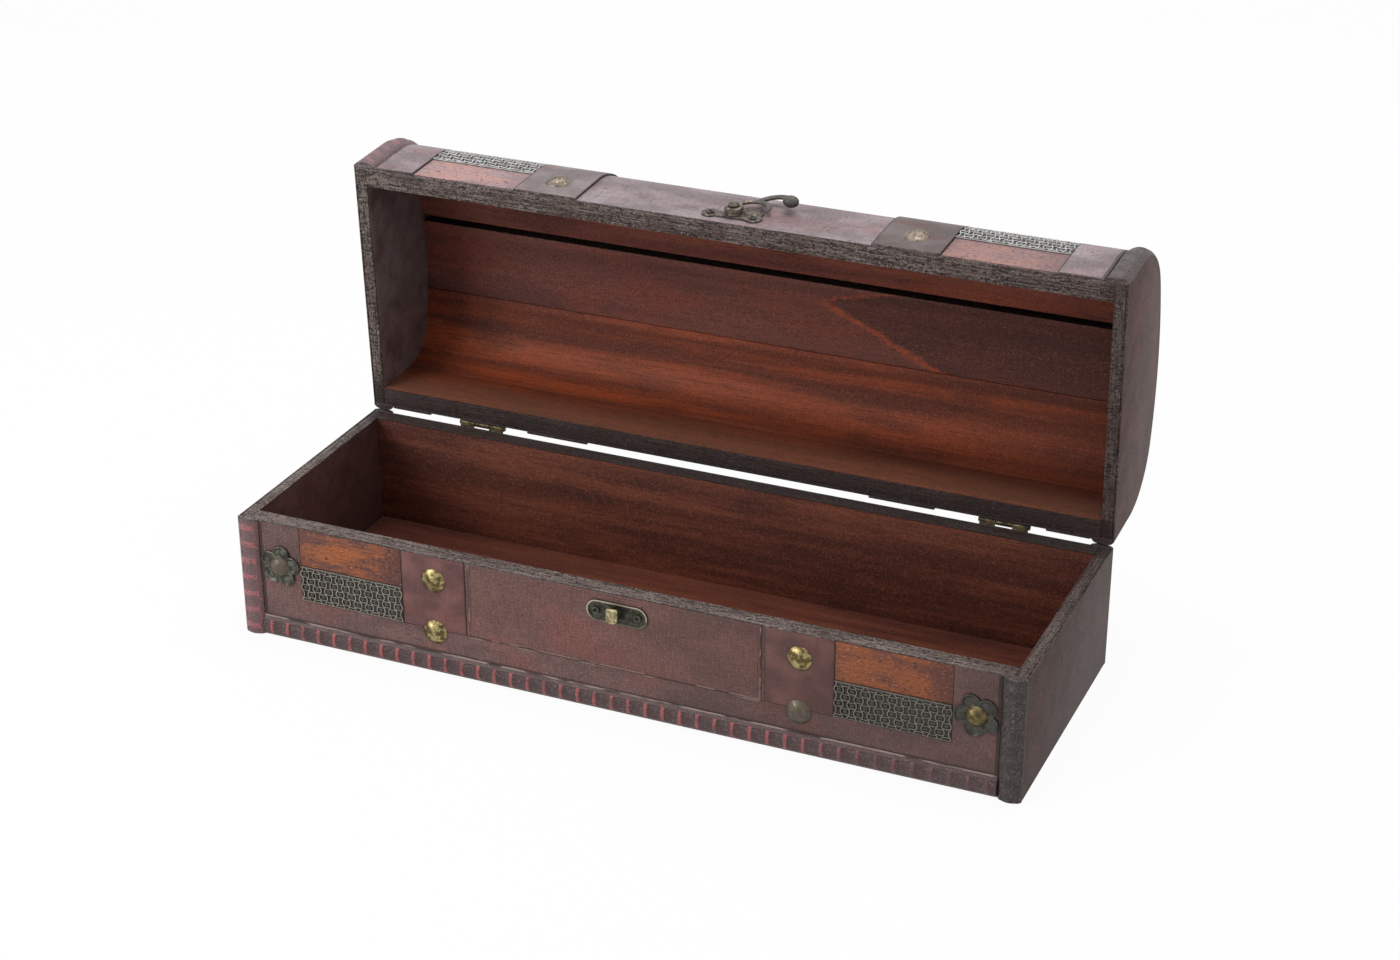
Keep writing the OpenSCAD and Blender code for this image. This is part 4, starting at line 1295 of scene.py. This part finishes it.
def rubbed_and_lit_plate():
    """Dark bronze with a thin pale line along the plate's border: painted highlight, strongest at its upper
    edge, broken where handling has rubbed it.
    """
    f = Finish("rubbed_and_lit_catch_plate")
    tarnish = f.cloud(1.8, 4, 2)
    fine = f.cloud(0.5, 3, 5)
    beyond = (abs(f.x - CATCH_X) - (CATCH_LEN - CATCH_H) / 2).over(0)
    up = f.z - CATCH_Z
    out = f.x.math("SQRT", beyond * beyond + up * up)
    wear_and_highlight = f.fade(f.cloud(8, 2, 9) + 0.03 * up, 0.4, 0.52)
    dirt = f.fade(fine, 0.56, 0.7)
    f.start(f.fade(tarnish, 0.38, 0.62), "4c4a40", "33322c")
    f.coat(f.line(out, CATCH_H / 2 - 0.42, 0.2, 0.2) * (0.25 + 0.7 * wear_and_highlight), "b3a596")
    f.coat(dirt * 0.6, "201e19")
    f.bump(fine + 0.5 * tarnish, 0.07)
    return f.done(0.34 + 0.3 * tarnish, 0.85 - 0.4 * dirt)


hand_in_eased(["catch_plate"], 0.22, "stamped", "base", "antique_bronze", rubbed_and_lit_plate())

# %% Knob
KNOB_W, KNOB_OUT, KNOB_SEAT, KNOB_FOOT = 4.8, 5.5, 0.9, 0.5
NECK_IN, NECK_TOP, NECK_W = 0.6, 4.1, 3.6
TONGUE_W, TONGUE_LOW, TONGUE_HIGH, TONGUE_BASE = 5.4, -2.7, 4.0, 0.15
knob = block((KNOB_W, KNOB_W, KNOB_FOOT), (0, 0, KNOB_SEAT + KNOB_FOOT / 2))
pick_top(knob)
inset(NECK_IN)
draw_out(NECK_TOP - KNOB_SEAT - KNOB_FOOT)
draw_out(TONGUE_BASE, -0.5, (TONGUE_LOW + TONGUE_HIGH) / 2)
bpy.ops.transform.resize(value=(TONGUE_W / NECK_W, (TONGUE_HIGH - TONGUE_LOW) / NECK_W, 1))
draw_out(KNOB_OUT - NECK_TOP - TONGUE_BASE)
for sign, least, offset, segments in ((-1, 2, 2.3, 8), (1, 2, 1.1, 5)):
    pick(knob, lambda a, b: min(a.z, b.z) > NECK_TOP and abs(a.z - b.z) > 1 and sign * a.y > least, "EDGE")
    bpy.ops.mesh.bevel(offset=offset, segments=segments)
pick(knob, lambda a, b: min(a.z, b.z) > KNOB_OUT - 0.01, "EDGE")
bpy.ops.mesh.bevel(offset=0.5, segments=3)
pick_underside(knob, KNOB_SEAT + 0.1)
inset(1.5)
draw_out(-KNOB_SEAT - BITE)
hand_in(knob, "catch_knob", "filed", "base", "antique_brass", knob_brass, on_front(CATCH_X, CATCH_Z), 50)

# %% [markdown]
# ## Pins of the catch and of the clasp
# The pins are small rivets with a dished head: a ring around a dark hollow. A disc is drawn with its top
# inset twice, and the inner face is pressed in and stamped, so that the finish can darken it.

# %% Dished pins
PIN_R, PIN_H = 1.6, 0.7


def dished_pin(seat):
    """A rivet whose head is a ring around a hollow."""
    pin = disc(PIN_R, PIN_H, seat, 32)
    pick_top(pin)
    inset(0.38 * PIN_R)
    inset(0.1 * PIN_R, -0.8 * PIN_H)
    pick_underside(pin)
    inset(PIN_R - SHANK_R)
    draw_out(-seat - BITE)
    ease(pin, 0.16 * PIN_H, 2, 40)
    return stamp(pin, "stamp", lambda p: float(math.hypot(p.x, p.y) < 0.58 * PIN_R and p.z > seat))


PIVOT_X, PIVOT_Z = 2.2, 10.0
hand_in(nails(dished_pin(0.9), [on_front(CATCH_X + side * 9.5, CATCH_Z) for side in (-1, 1)]),
        "catch_pins", "dished", "base", "antique_bronze", pin_bronze, None, 32)
hand_in(nails(dished_pin(0.8), [on_front(PIVOT_X + side * 10, PIVOT_Z - 2.4, True) for side in (-1, 1)]),
        "clasp_pins", "dished", "lid", "antique_bronze", pin_bronze, None, 32)

# %% [markdown]
# ## The clasp and its hook
# The clasp plate is stamped with three lobes, a domed disc and a collar that carries the hook. The rivet
# has a dished head. The hook is cast: an arch that goes round the disc, and a tail that curls over and
# rises to an oblong ball. Both are wires that thicken and thin, flattened a little and melted together
# with the hub by a voxel remesh.

# %% Clasp plate and rivet
hand_in_eased(["clasp_plate"], 0.22, "stamped", "lid", "antique_bronze", plate_bronze)

RIVET_R, RIVET_H, HUB_TOP, RIVET_SHANK = 2.6, 0.8, 4.3, 1.6
rivet = disc(RIVET_R, RIVET_H, HUB_TOP, 40)
pick_top(rivet)
inset(0.7)
inset(0.35, -0.45)
pick_underside(rivet)
inset(RIVET_R - RIVET_SHANK)
draw_out(-HUB_TOP - BITE)
ease(rivet, 0.16, 2, 30)
hand_in(rivet, "clasp_rivet", "dished", "lid", "antique_bronze", plate_bronze,
        on_front(PIVOT_X, PIVOT_Z, True), 32)

# %% Hook
ARM_LIFT, ARM_T, ARM_W = 2.0, 1.8, 2.6
ARCH_REACH, KNOB_GAP = 8, 2.85
TAIL_R, TAIL_RISE, TAIL_STEPS = 7.9, 2.0, 26
HUB_R, HUB_H, BORE_R = 4.2, 2.2, 1.66
KNOB_REACH = math.hypot(CATCH_X - PIVOT_X, BASE_H - CATCH_Z + 0.3 + PIVOT_Z)


def arc(reach, angle, radius, start, stop, steps):
    """Points on an arc, in the hook's own plane, around a point that lies reach away at an angle."""
    cx, cy = (reach * f(math.radians(angle)) for f in (math.cos, math.sin))
    turns = [math.radians(start + (stop - start) * i / steps) for i in range(steps + 1)]
    return [Vector((cx + radius * math.cos(t), cy + radius * math.sin(t), 0)) for t in turns]


arch = arc(ARCH_REACH, 22, KNOB_REACH - KNOB_GAP - ARCH_REACH - ARM_W / 2, -8, 200, 30)
tail = arc(KNOB_REACH - 1.85, 29.5, TAIL_R, 7, 168, TAIL_STEPS)
for i, point in enumerate(tail):
    share = 1 - i / TAIL_STEPS
    point.z = TAIL_RISE * share * share * (3 - 2 * share) * ARM_W / ARM_T
swell = [0.72 * math.sin(math.pi * min(1, i / 5) / 2) + 0.28 for i in range(len(arch))]
arms = [wire(arch, [ARM_W / 2 * s for s in swell], 3),
        wire(tail, [1.9 - 0.5 * math.sin(math.pi * i / 40) for i in range(len(tail))], 3)]
flatten = Matrix.Diagonal((1, 1, ARM_T / ARM_W, 1))
for arm in arms:
    arm.data.transform(Matrix.Translation((0, 0, ARM_LIFT + ARM_T / 2)) @ flatten)
ball = solid("uv_sphere", segments=32, ring_count=20, radius=2.7, scale=(1.36, 1.08, 1),
             location=(tail[0].x - 0.5, tail[0].y + 0.3, ARM_LIFT + 3.5))
hub = disc(HUB_R, HUB_H, ARM_LIFT, 48)
ease(hub, 0.5, 3, 30)
hook = joined([hub, ball] + arms)
melt(hook, 0.17, 4)
take_away(hook, disc(BORE_R, 6, ARM_LIFT - 2, 48))
hand_in(hook, "hook_arm", "cast", "hook", "antique_bronze", hook_bronze, on_front(PIVOT_X, PIVOT_Z, True), 50)

# %% [markdown]
# ## Hinges
# Two small butt hinges stand behind the box: a leaf on the base with two knuckles, a leaf on the lid
# with one, a pin through all three, and two slotted screws in each leaf. The leaves are eased copies of
# the CAD shapes. The screws are domed nails with a slot cut across their heads.

# %% Hinge leaves and pins
for body, *nodes in (("base", "left_hinge_leaf", "right_hinge_leaf"),
                     ("lid", "lid_left_hinge_leaf", "lid_right_hinge_leaf"), ("base", "hinge_pins")):
    hand_in_eased(nodes, 0.15, "eased", body, "hinge_brass", hinge_brass)

# %% Hinge screws
HINGE_XS = (-123, 131)
LEAF_T = 0.8
SCREW_OUT, SCREW_APART = 8.5, 7


def slotted_screw():
    head = nail(1.9, 0.6, LEAF_T, 0, 1, 28)
    take_away(head, block((6, 0.5, 0.6), (0, 0, LEAF_T + 0.55)))
    return head


def screw_place(x, z, lid):
    flat = Matrix.Translation((x, FRONT, z)) @ Matrix.Rotation(-math.pi / 2, 4, "X")
    return MM @ (LID @ flat if lid else flat)


for lid in (False, True):
    height = HINGE.z - RIM_Z + SCREW_OUT if lid else HINGE.z - SCREW_OUT
    places = [screw_place(x + s * SCREW_APART, height, lid) for x in HINGE_XS for s in (-1, 1)]
    hand_in(nails(slotted_screw(), places), "lid_hinge_screws" if lid else "hinge_screws", "slotted",
            "lid" if lid else "base", "hinge_brass", hinge_brass, None, 32)

# %% [markdown]
# ## The last step
# It clears the selection.

# %% Clear the selection
fresh()
